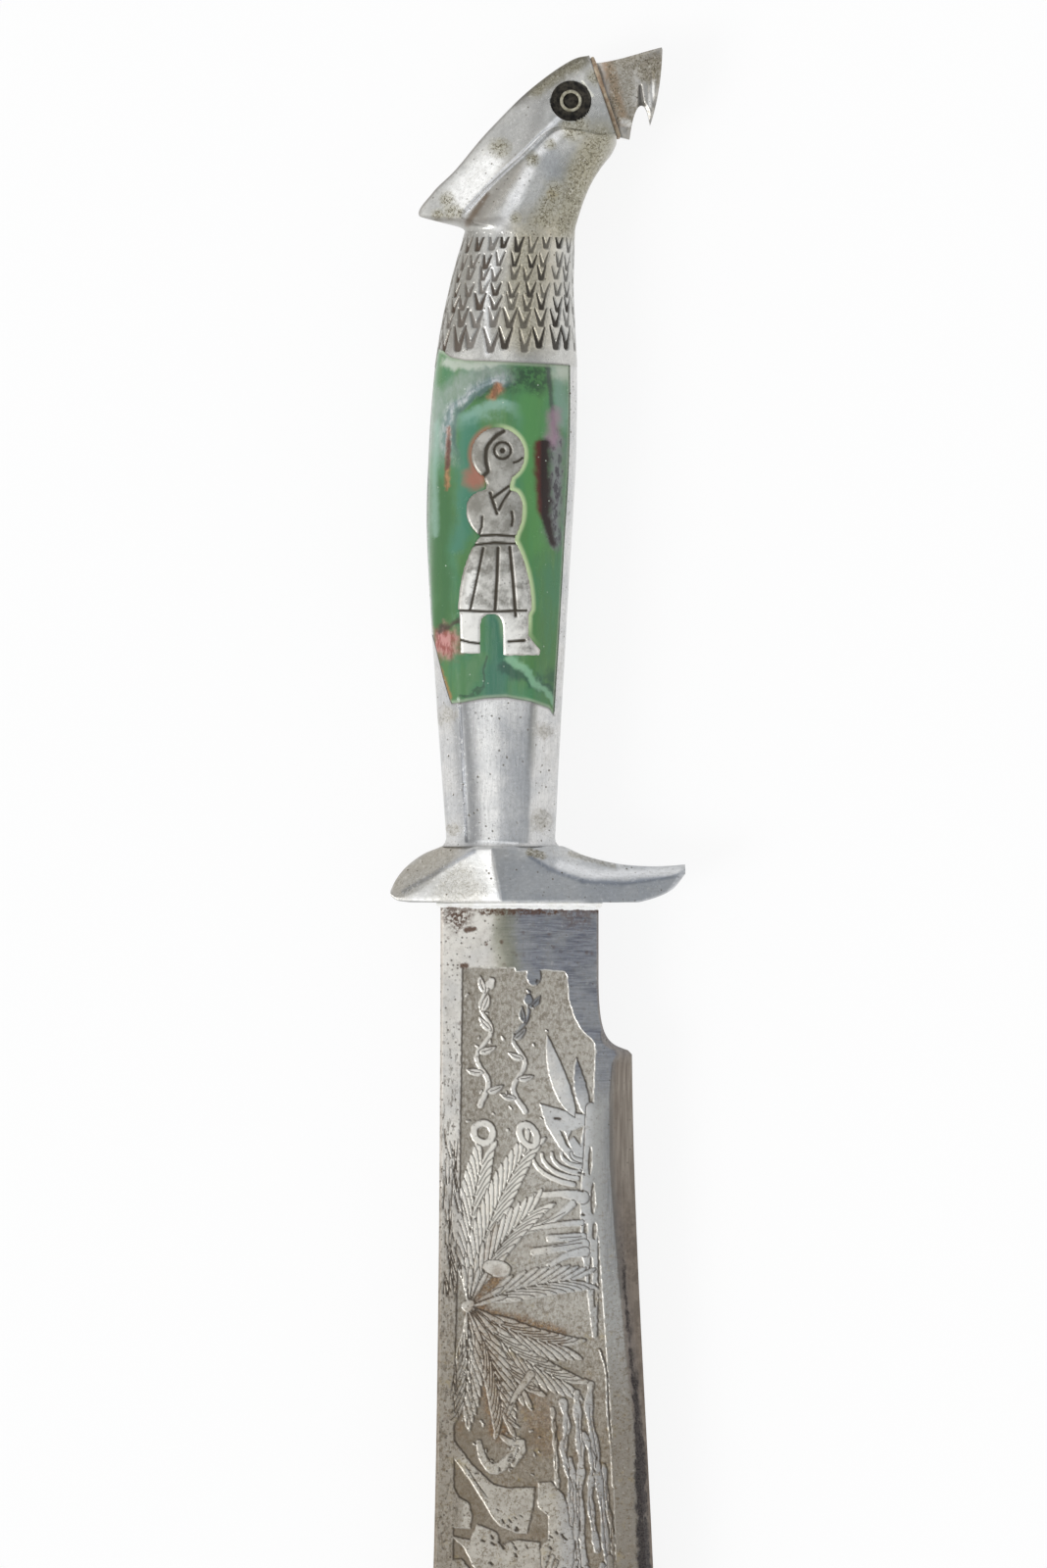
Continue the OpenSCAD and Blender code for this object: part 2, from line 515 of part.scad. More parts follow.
// Open hooked beak, drawn square to its seam: flared top, long front hook, throat notch and short lower bill
module beak_outline() {
    polygon(concat(
        arc_line([seam_t, 5.5], [4, 4.7], [7.4, 4.9], [beak_l, beak_rise], 8),
        arc_line([beak_l, beak_rise - 0.4], [10.2, 1.2], [8.4, -3], [5.7, -6.5], 8),
        arc_line([5.8, -5.6], [6, -4.4], [6, -2.9], [5.2, -3], 5),
        arc_line([4.9, -3.1], [4, -3.6], [3, -5.4], [1.9, -7.6], 6),
        [[seam_t, -seam_half_l]]));
}
module beak() {
    tip_x = beak_l + 0.7;
    color("silver") at_seam() {
        intersection() {
            translate([0, 0, -10]) linear_extrude(20) beak_outline();
            rotate([90, 0, 0]) translate([0, 0, -20]) linear_extrude(40) polygon([
                [0, -beak_root_half_t], [tip_x, -beak_front_half_t], [tip_x, beak_front_half_t],
                [0, beak_root_half_t]]);
            rotate([0, 90, 0]) linear_extrude(tip_x) polygon([
                [-1.1, 6], [-beak_root_half_t, 2.4], [-beak_root_half_t, -4.6], [-1.4, -8],
                [1.4, -8], [beak_root_half_t, -4.6], [beak_root_half_t, 2.4], [1.1, 6]]);
        }
        beak_tenon(-fit);
    }
}

module placed() translate([-mid_x, -mid_y, rest_h]) children();
placed() blade();
placed() root_solder();
placed() guard();
placed() tang_bedding();
placed() grip_frame();
placed() tang_pin_lower();
placed() tang_pin_upper();
placed() front_inlay();
placed() back_inlay();
placed() front_figure();
placed() back_figure();
placed() eagle_head();
placed() eye_enamel();
placed() eye_eyelet();
placed() beak_braze();
placed() beak();
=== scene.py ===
"""Looks of the engraved knife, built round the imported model.

Shapes are worked out in the maker's millimetres, measured from the guard's foot on the blade's middle
plane: +Y to the pommel, +X to the cutting edge, +Z out of the shown face. shift_to_row moves them into
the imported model's frame, and every mesh is written in metres.
"""
import math

import bmesh
import bpy
import numpy as np
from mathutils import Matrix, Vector
from mathutils.geometry import delaunay_2d_cdt


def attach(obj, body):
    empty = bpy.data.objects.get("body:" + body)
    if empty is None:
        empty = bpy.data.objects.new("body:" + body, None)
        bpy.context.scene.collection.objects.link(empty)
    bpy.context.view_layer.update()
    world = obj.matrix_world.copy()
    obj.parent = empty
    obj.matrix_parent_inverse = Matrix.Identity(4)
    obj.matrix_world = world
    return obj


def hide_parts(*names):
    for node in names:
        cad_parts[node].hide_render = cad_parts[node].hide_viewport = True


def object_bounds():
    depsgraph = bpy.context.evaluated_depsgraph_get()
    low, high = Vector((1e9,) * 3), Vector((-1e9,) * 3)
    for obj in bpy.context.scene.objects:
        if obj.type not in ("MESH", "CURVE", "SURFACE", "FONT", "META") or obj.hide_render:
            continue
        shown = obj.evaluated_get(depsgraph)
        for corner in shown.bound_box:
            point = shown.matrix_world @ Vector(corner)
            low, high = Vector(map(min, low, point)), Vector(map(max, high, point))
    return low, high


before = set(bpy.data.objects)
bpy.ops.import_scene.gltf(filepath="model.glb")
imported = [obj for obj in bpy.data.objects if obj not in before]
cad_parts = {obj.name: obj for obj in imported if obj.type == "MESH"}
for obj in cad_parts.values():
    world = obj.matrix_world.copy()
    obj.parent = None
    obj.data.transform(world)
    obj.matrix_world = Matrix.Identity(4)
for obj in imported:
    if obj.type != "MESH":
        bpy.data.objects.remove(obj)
cad_low, cad_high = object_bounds()

# Sizes of the solids, in millimetres
blade_length = 205
blade_half_t = 1.8
long_reach = 26.2
short_reach = 20.4
guard_foot = 0.5
guard_top = 9.4
guard_half_t = 9.4
collar_x = -3
collar_top = 31.8
neck_foot = 85.2
neck_top = 107.2
wall_w = 1.1
fin_half_t = 1.2
head_x = 0.2
face_half_t = 5.6
crest_back_half_t = 2.4
throat_half_t = 7
eye_at = (8.1, 127.2)
eye_floor = 3.916
socket_r = 3.2
seam_at = (13.2, 127.9)
seam_turn = math.radians(18.4)
seam_t = 0.7
clip_y = -139
ricasso_end = 19.5
solder_height = 0.5
solder_half_w = 13.0
solder_half_t = 2.3
shell_wall = 1.1
resin_depth = 2.4
under_figure = 1.1
figure_foot = 4.45
figure_at = (-3.3, collar_top + 7.7)
neck_wall = 1.2
tang_x = -2.8
tang_half_t = 1.55
relief_depth = 0.17
cut_depth = 0.07
punch_depth = 0.34
pixel = 0.155
guard_foot_px = (530, 924)
shift_to_row = np.array([
    1000 * cad_high.x - long_reach,
    1000 * cad_low.y + blade_length,
    500 * cad_high.z,
])
scene = bpy.context.scene


def mixed(a, b, share):
    return a + (b - a) * share


def eased(value, low, high):
    """0 below low, 1 above high, and a smooth rise between."""
    u = np.clip((value - low) / (high - low), 0, 1)
    return u * u * (3 - 2 * u)


def bell(value, width):
    """1 where the value is 0, fading smoothly to both sides."""
    return np.exp(-((value / width) ** 2))


def bend(p0, p1, p2, p3, steps):
    """Points along a Bezier curve."""
    u = np.linspace(0, 1, steps + 1)[:, None]
    v = 1 - u
    p0, p1, p2, p3 = (np.asarray(p, float) for p in (p0, p1, p2, p3))
    return v**3 * p0 + 3 * v * v * u * p1 + 3 * v * u * u * p2 + u**3 * p3


def along(keys, place):
    """Smooth values between rows of keys: one array for each column after the first."""
    keys = np.asarray(keys, float)
    place = np.asarray(place, float)
    count = len(keys)
    order = np.arange(count)
    before = np.maximum(order - 1, 0)
    after = np.minimum(order + 1, count - 1)
    slope = (keys[after] - keys[before]) / (keys[after, :1] - keys[before, :1])
    i = np.clip(np.searchsorted(keys[:, 0], place, side="right") - 1, 0, count - 2)
    step = keys[i + 1, 0] - keys[i, 0]
    u = (place - keys[i, 0]) / step
    found = []
    for c in range(1, keys.shape[1]):
        found.append(
            (2 * u**3 - 3 * u**2 + 1) * keys[i, c]
            + (u**3 - 2 * u**2 + u) * step * slope[i, c]
            + (3 * u**2 - 2 * u**3) * keys[i + 1, c]
            + (u**3 - u**2) * step * slope[i + 1, c]
        )
    return found


def xyz(x, y, z):
    """Points from their three coordinates, of which some may be single numbers."""
    return np.stack(np.broadcast_arrays(x, y, z), -1).astype(float)


def waves(points, pitch, seed):
    """Smooth irregular waves from -1 to 1, about a pitch apart."""
    draw = np.random.default_rng(seed)
    total = 0
    for _ in range(6):
        direction = draw.normal(size=3)
        direction /= np.linalg.norm(direction)
        length = pitch * draw.uniform(0.6, 1.6)
        total = total + np.sin(points @ direction * 2 * np.pi / length + draw.uniform(0, 6.28))
    return total / 3.5


def line_distance(x, y, line, half_width=0):
    """Distance to an open line, less its half width, which may change from point to point."""
    line = np.asarray(line, float)
    width = np.broadcast_to(np.asarray(half_width, float), (len(line),))
    best = np.full(np.shape(x), 1e9)
    for (ax, ay), (bx, by), wa, wb in zip(line[:-1], line[1:], width[:-1], width[1:]):
        length2 = max((bx - ax) ** 2 + (by - ay) ** 2, 1e-12)
        t = np.clip(((x - ax) * (bx - ax) + (y - ay) * (by - ay)) / length2, 0, 1)
        away = np.hypot(x - mixed(ax, bx, t), y - mixed(ay, by, t)) - mixed(wa, wb, t)
        best = np.minimum(best, away)
    return best


def outline_distance(x, y, outline):
    """Distance to a closed outline, below 0 inside it."""
    outline = np.asarray(outline, float)
    ring = np.vstack([outline, outline[:1]])
    inside = np.zeros(np.shape(x), bool)
    for (ax, ay), (bx, by) in zip(ring[:-1], ring[1:]):
        if ay == by:
            continue
        crosses = (ay > y) != (by > y)
        inside ^= crosses & (x < mixed(ax, bx, (y - ay) / (by - ay)))
    away = line_distance(x, y, ring)
    return np.where(inside, -away, away)


def resampled(line, pitch, closed=True):
    """The same line with points about a pitch apart; its own corners stay."""
    line = np.asarray(line, float)
    ends = np.vstack([line[1:], line[:1]]) if closed else line[1:]
    found = []
    for a, b in zip(line, ends):
        steps = max(1, int(round(np.linalg.norm(b - a) / pitch)))
        found.extend(mixed(a, b, k / steps) for k in range(steps))
    if not closed:
        found.append(line[-1])
    return np.array(found)


def skin_quads(rows, cols, round_trip=False):
    """Four-sided faces over a grid of points, by rows."""
    i = np.arange(rows - 1)[:, None] * cols
    j = np.arange(cols if round_trip else cols - 1)[None, :]
    k = (j + 1) % cols
    return np.stack(np.broadcast_arrays(i + j, i + k, i + cols + k, i + cols + j), -1)


def capped_faces(rows, cols):
    """Faces of a closed skin that runs round, with both its ends shut."""
    ends = [list(range(cols)), list(range((rows - 1) * cols, rows * cols))]
    return skin_quads(rows, cols, True).reshape(-1, 4).tolist() + ends


def shell_faces(faces, count):
    """Closes a skin of count points into a solid whose inner side has the next count points."""
    sides = faces.shape[1]
    edges = np.concatenate([faces[:, [k, (k + 1) % sides]] for k in range(sides)])
    forward = edges[:, 0] * count + edges[:, 1]
    backward = edges[:, 1] * count + edges[:, 0]
    rim = edges[~np.isin(forward, backward)]
    walls = np.stack([rim[:, 1], rim[:, 0], rim[:, 0] + count, rim[:, 1] + count], 1)
    return faces.tolist() + (faces[:, ::-1] + count).tolist() + walls.tolist()


def normals_of(points, round_trip=False):
    """Outward normals over a grid of points, by rows, round the knife's own axis."""
    wide = np.concatenate([points[:, -1:], points, points[:, :1]], 1) if round_trip else points
    down = np.gradient(wide, axis=0)
    across = np.gradient(wide, axis=1)
    normal = np.cross(down, across)
    if round_trip:
        normal = normal[:, 1:-1]
    normal /= np.maximum(np.linalg.norm(normal, axis=-1, keepdims=True), 1e-9)
    middle = points.mean(axis=1, keepdims=True) if round_trip else points * [1, 1, 0]
    turned = np.sum(normal * (points - middle), -1, keepdims=True) < 0
    return np.where(turned, -normal, normal)


def make_piece(name, points, faces, paint, nodes, marks=None, crease=38):
    """One visible piece: a mesh in the row frame that rides on the knife and stands for its CAD nodes."""
    mesh = bpy.data.meshes.new(name)
    mesh.from_pydata(((np.reshape(points, (-1, 3)) + shift_to_row) / 1000).tolist(), [], faces)
    for key, values in (marks or {}).items():
        layer = mesh.attributes.new(key, "FLOAT", "POINT")
        layer.data.foreach_set("value", np.ravel(values).astype(np.float32))
    shape = bmesh.new()
    shape.from_mesh(mesh)
    bmesh.ops.recalc_face_normals(shape, faces=shape.faces)
    for face in shape.faces:
        face.smooth = True
    shape.to_mesh(mesh)
    shape.free()
    mesh.set_sharp_from_angle(angle=math.radians(crease))
    mesh.materials.append(paint)
    made = bpy.data.objects.new(name, mesh)
    scene.collection.objects.link(made)
    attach(made, "root")
    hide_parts(*nodes)
    return made


def ahead_and_side(line):
    """Unit vectors along a flat line and to its left, at each of its points."""
    ahead = np.gradient(line, axis=0)
    ahead /= np.linalg.norm(ahead, axis=1, keepdims=True)
    return ahead, np.stack([-ahead[:, 1], ahead[:, 0]], 1)


def joined(parts):
    """Several (points, faces) as one."""
    points = []
    faces = []
    start = 0
    for some_points, some_faces in parts:
        some_points = np.reshape(some_points, (-1, 3))
        points.append(some_points)
        faces.extend([start + i for i in face] for face in some_faces)
        start += len(some_points)
    return np.concatenate(points), faces


def softened(rings, times):
    """Rings of points whose corners are rounded a little, each time anew."""
    for _ in range(times):
        rings = 0.5 * rings + 0.25 * np.roll(rings, 1, 1) + 0.25 * np.roll(rings, -1, 1)
    return rings


def both_sides(points, normal, wall):
    """The points of a skin, then those of its inner side, a wall further in."""
    return np.concatenate([points.reshape(-1, 3), (points - normal * wall).reshape(-1, 3)])


def flipped(points):
    """The same points on the other face of the knife."""
    return np.reshape(points, (-1, 3)) * [1, 1, -1]


# Finishes


def tint(red, green, blue):
    """A colour as a screen shows it, 0 to 255, as the shader wants it."""
    found = []
    for part in (red, green, blue):
        share = part / 255
        found.append(share / 12.92 if share <= 0.04045 else ((share + 0.055) / 1.055) ** 2.4)
    return (*found, 1)


class Value:
    """A number that varies over a surface, which plain arithmetic can be written on."""

    def __init__(self, finish, socket):
        self.finish = finish
        self.socket = socket

    def reckon(self, operation, first, second):
        return self.finish.node("ShaderNodeMath", {"operation": operation}, {0: first, 1: second})

    def __add__(self, other):
        return self.reckon("ADD", self, other)

    def __radd__(self, other):
        return self.reckon("ADD", other, self)

    def __sub__(self, other):
        return self.reckon("SUBTRACT", self, other)

    def __rsub__(self, other):
        return self.reckon("SUBTRACT", other, self)

    def __mul__(self, other):
        return self.reckon("MULTIPLY", self, other)

    def __rmul__(self, other):
        return self.reckon("MULTIPLY", other, self)

    def over(self, other):
        return self.reckon("MAXIMUM", self, other)

    def size(self):
        return self.reckon("ABSOLUTE", self, 0.0)

    def root(self):
        return self.reckon("SQRT", self, 0.0)

    def step(self, low, high):
        """0 below low, 1 above high, and a smooth rise between."""
        settings = {"interpolation_type": "SMOOTHSTEP", "clamp": True}
        return self.finish.node("ShaderNodeMapRange", settings, {0: self, 1: low, 2: high, 3: 0.0, 4: 1.0})

    def drop(self, low, high):
        """1 below low, 0 above high."""
        return 1 - self.step(low, high)


class Finish:
    """A material under construction. Its places are millimetres from the guard's foot."""

    def __init__(self, name):
        self.material = bpy.data.materials.new(name)
        self.material.use_nodes = True
        self.tree = self.material.node_tree
        self.tree.nodes.clear()
        coords = self.node("ShaderNodeTexCoord", out="Object")
        shift = tuple(-shift_to_row)
        in_mm = self.node("ShaderNodeVectorMath", {"operation": "SCALE"}, {0: coords, "Scale": 1000.0})
        self.place = self.node("ShaderNodeVectorMath", {"operation": "ADD"}, {0: in_mm, 1: shift})
        self.x = self.node("ShaderNodeSeparateXYZ", {}, {0: self.place}, "X")
        self.y = self.node("ShaderNodeSeparateXYZ", {}, {0: self.place}, "Y")

    def node(self, kind, settings=None, sockets=None, out=0):
        made = self.tree.nodes.new(kind)
        for key, value in (settings or {}).items():
            if key == "stops":
                ramp = made.color_ramp
                while len(ramp.elements) < len(value):
                    ramp.elements.new(0.5)
                for element, (place, colour) in zip(ramp.elements, value):
                    element.position = place
                    element.color = colour
            else:
                setattr(made, key, value)
        for key, value in (sockets or {}).items():
            if isinstance(value, Value):
                self.tree.links.new(value.socket, made.inputs[key])
            else:
                made.inputs[key].default_value = value
        return Value(self, made.outputs[out])

    def moved(self, stretch, shift):
        """The place, stretched and shifted."""
        sockets = {0: self.place, 1: stretch, 2: shift}
        return self.node("ShaderNodeVectorMath", {"operation": "MULTIPLY_ADD"}, sockets)

    def noise(self, size, detail=3.0, roughness=0.55, stretch=(1, 1, 1), shift=(0, 0, 0)):
        """Cloudy noise with blots about a size across, in millimetres."""
        place = self.moved(stretch, shift)
        sockets = {"Vector": place, "Scale": 1 / size, "Detail": detail, "Roughness": roughness}
        return self.node("ShaderNodeTexNoise", {}, sockets, "Fac")

    def specks(self, size, low, high, shift=(0, 0, 0), stretch=(1, 1, 1)):
        """Small round specks about a size apart, 1 at their middles."""
        sockets = {"Vector": self.moved(stretch, shift), "Scale": 1 / size, "Randomness": 1.0}
        return self.node("ShaderNodeTexVoronoi", {}, sockets, "Distance").drop(low, high)

    def mark(self, name):
        """A number written on the mesh's points."""
        return self.node("ShaderNodeAttribute", {"attribute_name": name}, {}, "Fac")

    def mix(self, share, first, second):
        """A colour between two colours."""
        return self.node("ShaderNodeMix", {"data_type": "RGBA"}, {0: share, 6: first, 7: second}, 2)

    def layered(self, colour, layers):
        """A colour with layers over it: each is a share, and red, green and blue or a mixed colour."""
        for share, over in layers:
            colour = self.mix(share, colour, tint(*over) if isinstance(over, tuple) else over)
        return colour

    def soft_edge(self, away, reach, pitch, ragged, blur):
        """1 at a distance of 0, 0 beyond a reach, and a ragged, blurred edge between."""
        edge = away + (self.noise(pitch, 4.0) - 0.5) * (2 * ragged * reach)
        return edge.drop(reach * (1 - blur), reach * (1 + blur))

    def spot(self, x, y, radius, ragged=0.35, blur=0.5):
        """A soft stain round a place on the shown face, with a ragged edge."""
        centre = self.node("ShaderNodeVectorMath", {"operation": "MULTIPLY"}, {0: self.place, 1: (1, 1, 0)})
        sockets = {0: centre, 1: (x, y, 0)}
        away = self.node("ShaderNodeVectorMath", {"operation": "DISTANCE"}, sockets, "Value")
        return self.soft_edge(away, radius, radius * 0.8, ragged, blur)

    def stroke(self, x0, y0, x1, y1, width, ragged=0.35, blur=0.5):
        """A soft streak between two places on the shown face, with ragged edges."""
        length = math.hypot(x1 - x0, y1 - y0)
        ux = (x1 - x0) / length
        uy = (y1 - y0) / length
        lengthways = (self.x - x0) * ux + (self.y - y0) * uy
        across = (self.y - y0) * ux - (self.x - x0) * uy
        beyond = ((lengthways - length / 2).size() - length / 2).over(0.0)
        away = (across * across + beyond * beyond).root()
        return self.soft_edge(away, width, width * 1.5, ragged, blur)

    def arc(self, x, y, radius, width, ragged=0.35, blur=0.5):
        """A soft streak along a circle on the shown face, with ragged edges."""
        dx = self.x - x
        dy = self.y - y
        away = ((dx * dx + dy * dy).root() - radius).size()
        return self.soft_edge(away, width, width * 1.5, ragged, blur)

    def marks(self, rows):
        """The strongest of some soft marks: spots have up to five numbers, streaks more. Or one rule."""
        if callable(rows):
            return rows(self)
        found = None
        for row in rows:
            drawn = self.spot(*row) if len(row) < 6 else self.stroke(*row)
            found = drawn if found is None else found.over(drawn)
        return found

    def bump(self, height, depth):
        """A surface normal from a height, whose 1 stands for depth millimetres."""
        return self.node("ShaderNodeBump", {}, {"Height": height, "Distance": depth / 1000, "Strength": 1.0})

    def shown(self, shader):
        """Joins a shader to the material's output."""
        output = self.tree.nodes.new("ShaderNodeOutputMaterial")
        self.tree.links.new(shader.socket, output.inputs["Surface"])
        return self.material

    def done(self, **sockets):
        """The finished material, from the numbers and colours of its shader."""
        named = {key.replace("_", " "): value for key, value in sockets.items()}
        return self.shown(self.node("ShaderNodeBsdfPrincipled", {}, named))


def cast_metal(name, light, dull, stain, pits, brush, polish, stains, tone_and_light_marks):
    """Filed and polished aluminium: clouded tone, fine brush lines, pits, placed tone marks and curly stains.
    Many tone marks are painted highlights, painted reflections and painted shade.

    A stain is a share and a mark. A tone is a share, its marks, and its red, green and blue.
    """
    f = Finish(name)
    cloud = f.noise(6.0, 5.0, 0.62)
    fleck = f.noise(0.6, 4.0, 0.7, shift=(3, 9, 4))
    brushed = f.noise(0.35, 2.0, 0.6, stretch=brush)
    colour = f.mix(cloud.step(0.35, 0.68), tint(*light), tint(*dull))
    colour = f.layered(colour, [(f.marks(places) * share, tone) for share, places, tone in tone_and_light_marks])
    patch = f.noise(4.5, 6.0, 0.7, shift=(31, 7, 2)).step(0.58, 0.78) * 0.3
    for share, place in stains:
        patch = patch.over(f.marks([place]) * share)
    curl = (f.noise(0.75, 3.0, 0.6, shift=(8, 2, 6)) - 0.5).size().drop(0.012, 0.05)
    pit = f.specks(1.1, 0.06, 0.2) * f.noise(4.0, 3.0, 0.6, shift=(9, 4, 1)).step(0.42, 0.6) * pits
    pit = pit.over(f.specks(0.6, 0.1, 0.3, shift=(5, 5, 5)) * patch.step(0.4, 0.9) * 0.9)
    pit = pit.over(f.specks(0.5, 0.06, 0.2, shift=(7, 3, 5)) * 0.45 * pits)
    # Darker in punched marks, grooves, joints and the seam, and painted shade in the crease under the crest
    # and over a glint at the hackle's foot
    dirt = f.mark("dirt")
    colour = f.layered(colour, [
        (fleck.step(0.5, 0.72) * 0.3, (150, 148, 142)),
        (fleck.drop(0.3, 0.46) * 0.3, (244, 243, 240)),
        ((brushed - 0.5) * 0.6 + 0.1, (136, 136, 136)),
        (patch * 0.6, stain),
        (patch * fleck.drop(0.36, 0.46) * 0.55, (214, 211, 200)),
        (patch * curl * 0.85, (104, 97, 74)),
        (pit, (88, 80, 66)),
        (dirt, f.mix(f.x.step(-7.0, 0.0), tint(78, 65, 53), tint(48, 42, 34))),
    ])
    height = brushed * 0.22 + cloud * 0.25 - pit * 1.0 + fleck * 0.22 - patch * curl * 0.3
    return f.done(
        Base_Color=colour,
        Metallic=0.92 - patch * 0.35 - dirt * 0.6,
        Roughness=polish + cloud * 0.1 + patch * 0.2 + dirt * 0.3,
        Normal=f.bump(height, 0.035),
    )


def blade_steel():
    """Etched carbon steel: bright and dull areas, stippled ground, dark outlines, grind line and rust."""
    f = Finish("etched blade steel")
    ground, grime, grind, bevel, lit = (f.mark(name) for name in ("ground", "grime", "grind", "bevel", "lit"))
    cloud = f.noise(9.0, 5.0, 0.6)
    mottle = f.noise(1.6, 5.0, 0.7, shift=(6, 2, 5))
    fine = f.noise(0.3, 3.0, 0.7)
    fleck = f.noise(0.8, 5.0, 0.75, shift=(12, 4, 7))
    lengthways = f.noise(0.4, 2.0, 0.6, stretch=(1, 0.06, 1))
    crosswise = f.noise(0.3, 3.0, 0.65, stretch=(0.1, 1, 1), shift=(2, 3, 4))
    low = f.y.drop(-84, -34)
    shabby = 0.45 + 0.55 * f.y.drop(-70, -20)

    # Bright metal: the margin by the spine dulls towards the point, the one by the edge is blue-grey and
    # dulls lower down
    spine_strip = (f.x + 0.01 * f.y).drop(-10.6, -9.6)
    scratches = f.noise(0.6, 4.0, 0.7, stretch=(1, 0.3, 1), shift=(7, 7, 7)).step(0.53, 0.6)
    cool = (f.x + (cloud - 0.5) * 8).step(2.0, 9.0) * f.y.drop(-26, -14) * f.y.step(-76, -56)
    edge_strip = (f.x + (cloud - 0.5) * 3).step(9.5, 12.5)
    edge_strip = edge_strip * (0.4 + 0.6 * f.x.step(11.0, 14.5).over(f.y.step(-60, -44)))
    band = f.x.step(12.2, 14.4) * f.y.drop(-36, -27) * f.y.step(-64, -52)
    bright = f.layered(f.mix(cloud.step(0.35, 0.65), tint(232, 228, 220), tint(206, 204, 200)), [
        (low * 0.8, (196, 190, 178)),
        (mottle.step(0.42, 0.66) * (0.25 + 0.35 * low), (160, 152, 140)),
        (spine_strip * f.y.drop(-70, -34) * 0.75, (150, 142, 130)),
        (scratches * spine_strip * f.y.drop(-26, -12) * 0.6, (96, 87, 75)),
        (cool * 0.6, (184, 188, 192)),
        (edge_strip * f.y.drop(-14, -9) * 0.9, (160, 160, 157)),
        (edge_strip * f.y.drop(-86, -62) * 0.85, (138, 131, 121)),
        (band * (0.3 + 0.7 * lengthways.step(0.3, 0.7)) * 0.6, (104, 106, 112)),
    ])

    # Ricasso: a painted dark blue-grey reflection towards the edge, with an olive band where it fades
    reflection_edge = f.x + (cloud - 0.5) * 4 + (f.noise(2.5, 3.0, shift=(4, 1, 1)) - 0.5) * 2 + (f.y + 1.5) * 0.09
    blue = reflection_edge.step(-4.6, -1.8) * f.y.step(-25, -17).over(f.x.step(7.5, 8.5) * f.y.step(-34, -24))
    reflected_blue_grey = f.mix(crosswise.step(0.3, 0.7), tint(96, 99, 109), tint(137, 140, 147))
    reflected_blue_grey = f.mix(f.noise(5.0, 3.0, shift=(4, 4, 9)).step(0.4, 0.62) * 0.5, reflected_blue_grey, tint(150, 152, 152))
    reflection_fringe = reflection_edge.step(-6.0, -3.6) * reflection_edge.drop(-2.6, 0.6) * f.y.step(-24, -12)
    by_edge = (f.x + f.y * 0.02).step(3.4, 5.4) * f.y.drop(-80, -74) * f.x.drop(13.6, 14.4)
    bright = f.layered(bright, [
        (blue, reflected_blue_grey),
        (reflection_fringe * 0.6, (134, 134, 108)),
        (fleck.step(0.5, 0.66) * 0.55 * shabby, (124, 113, 97)),
        (fleck.drop(0.32, 0.44) * 0.45 * shabby, (206, 202, 192)),
        (f.y.drop(-96, -60) * 0.15, (138, 128, 110)),
        (f.spot(-4.0, -44.0, 9.5, 0.4, 0.7) * f.x.step(-9.4, -8.4) * 0.9, (236, 232, 222)),
        (by_edge * 0.4, (174, 177, 182)),
    ])

    # Etched ground: stippled, darker towards the spine and the point
    grain = f.noise(0.35, 3.0, 0.7, stretch=(1, 0.5, 1), shift=(3, 3, 3))
    pale = (f.x + (cloud - 0.5) * 8).step(-4.0, 2.0) * f.y.drop(-30, -12) * f.y.step(-74, -60)
    pocket = f.x.drop(-8.0, -2.0).over(f.noise(5.0, 3.0, shift=(1, 6, 4)).step(0.56, 0.66))
    stipple = f.layered(f.mix(grain.step(0.32, 0.68), tint(132, 125, 114), tint(190, 186, 177)), [
        (pale * 0.5, (196, 193, 186)),
        (f.noise(4.0, 4.0, 0.6, shift=(8, 8, 1)).step(0.35, 0.65) * 0.5, (172, 167, 156)),
        (pocket * 0.6 * (0.3 + 0.7 * f.y.drop(-84, -60)), (104, 94, 79)),
        (f.y.drop(-92, -60) * 0.6, (126, 113, 94)),
        (fleck.step(0.48, 0.62) * 0.6, (108, 97, 80)),
    ])

    # Brown stains over both, the worn bevel, dark outlines with painted shade on their side away from the
    # lamp, the dark line where the bevel starts, and painted highlights on the outlines' side towards the
    # lamp
    brown = f.marks([(-7.4, -64.6, -3.6, -58.6, 1.3, 0.8), (-6.0, -64.6, 6.0, -68.6, 1.5, 0.8),
                     (-5.4, -67, -3.0, -83, 2.0, 0.7)])
    brown = brown.over(f.stroke(-0.6, -73, 4.4, -84, 2.4, 0.8) * 0.6)
    brown = brown.over(f.stroke(-5.4, -55.6, -3.6, -50.6, 0.5, 0.8) * 0.8)
    brown = brown.over(f.noise(5.0, 5.0, 0.65, shift=(1, 40, 3)).step(0.54, 0.72) * 0.55 * low)
    brown = brown * (0.4 + 0.6 * ground.over(grime)) * f.noise(0.8, 4.0, 0.75).step(0.3, 0.54)
    ochre = f.noise(2.4, 4.0, 0.7, shift=(15, 3, 2)).step(0.57, 0.72) * f.y.drop(-70, -30)
    stained = f.noise(0.5, 4.0, 0.75, shift=(4, 4, 4)).step(0.53, 0.61) * f.y.drop(-80, -44)
    worn = f.mix(lengthways.step(0.25, 0.75), tint(122, 112, 102), tint(156, 147, 136))
    worn_low = f.mix(mottle.step(0.4, 0.6), tint(88, 76, 66), tint(118, 106, 95))
    worn = f.mix(f.y.drop(-56, -36) * 0.75, worn, worn_low)
    ragged = f.noise(0.8, 5.0, 0.75, stretch=(1, 0.5, 1))
    ragged = ragged + (f.noise(4.0, 2.0, 0.6, shift=(2, 2, 2)) - 0.5) * 0.7
    dark_line = (grind * 0.85 + (ragged - 0.5) * 1.5 + f.y.drop(-92, -76) * 0.25).step(0.4, 0.85)
    dark_line = dark_line * grind.step(0.04, 0.4) * (0.3 + 0.7 * f.y.drop(-54, -44))
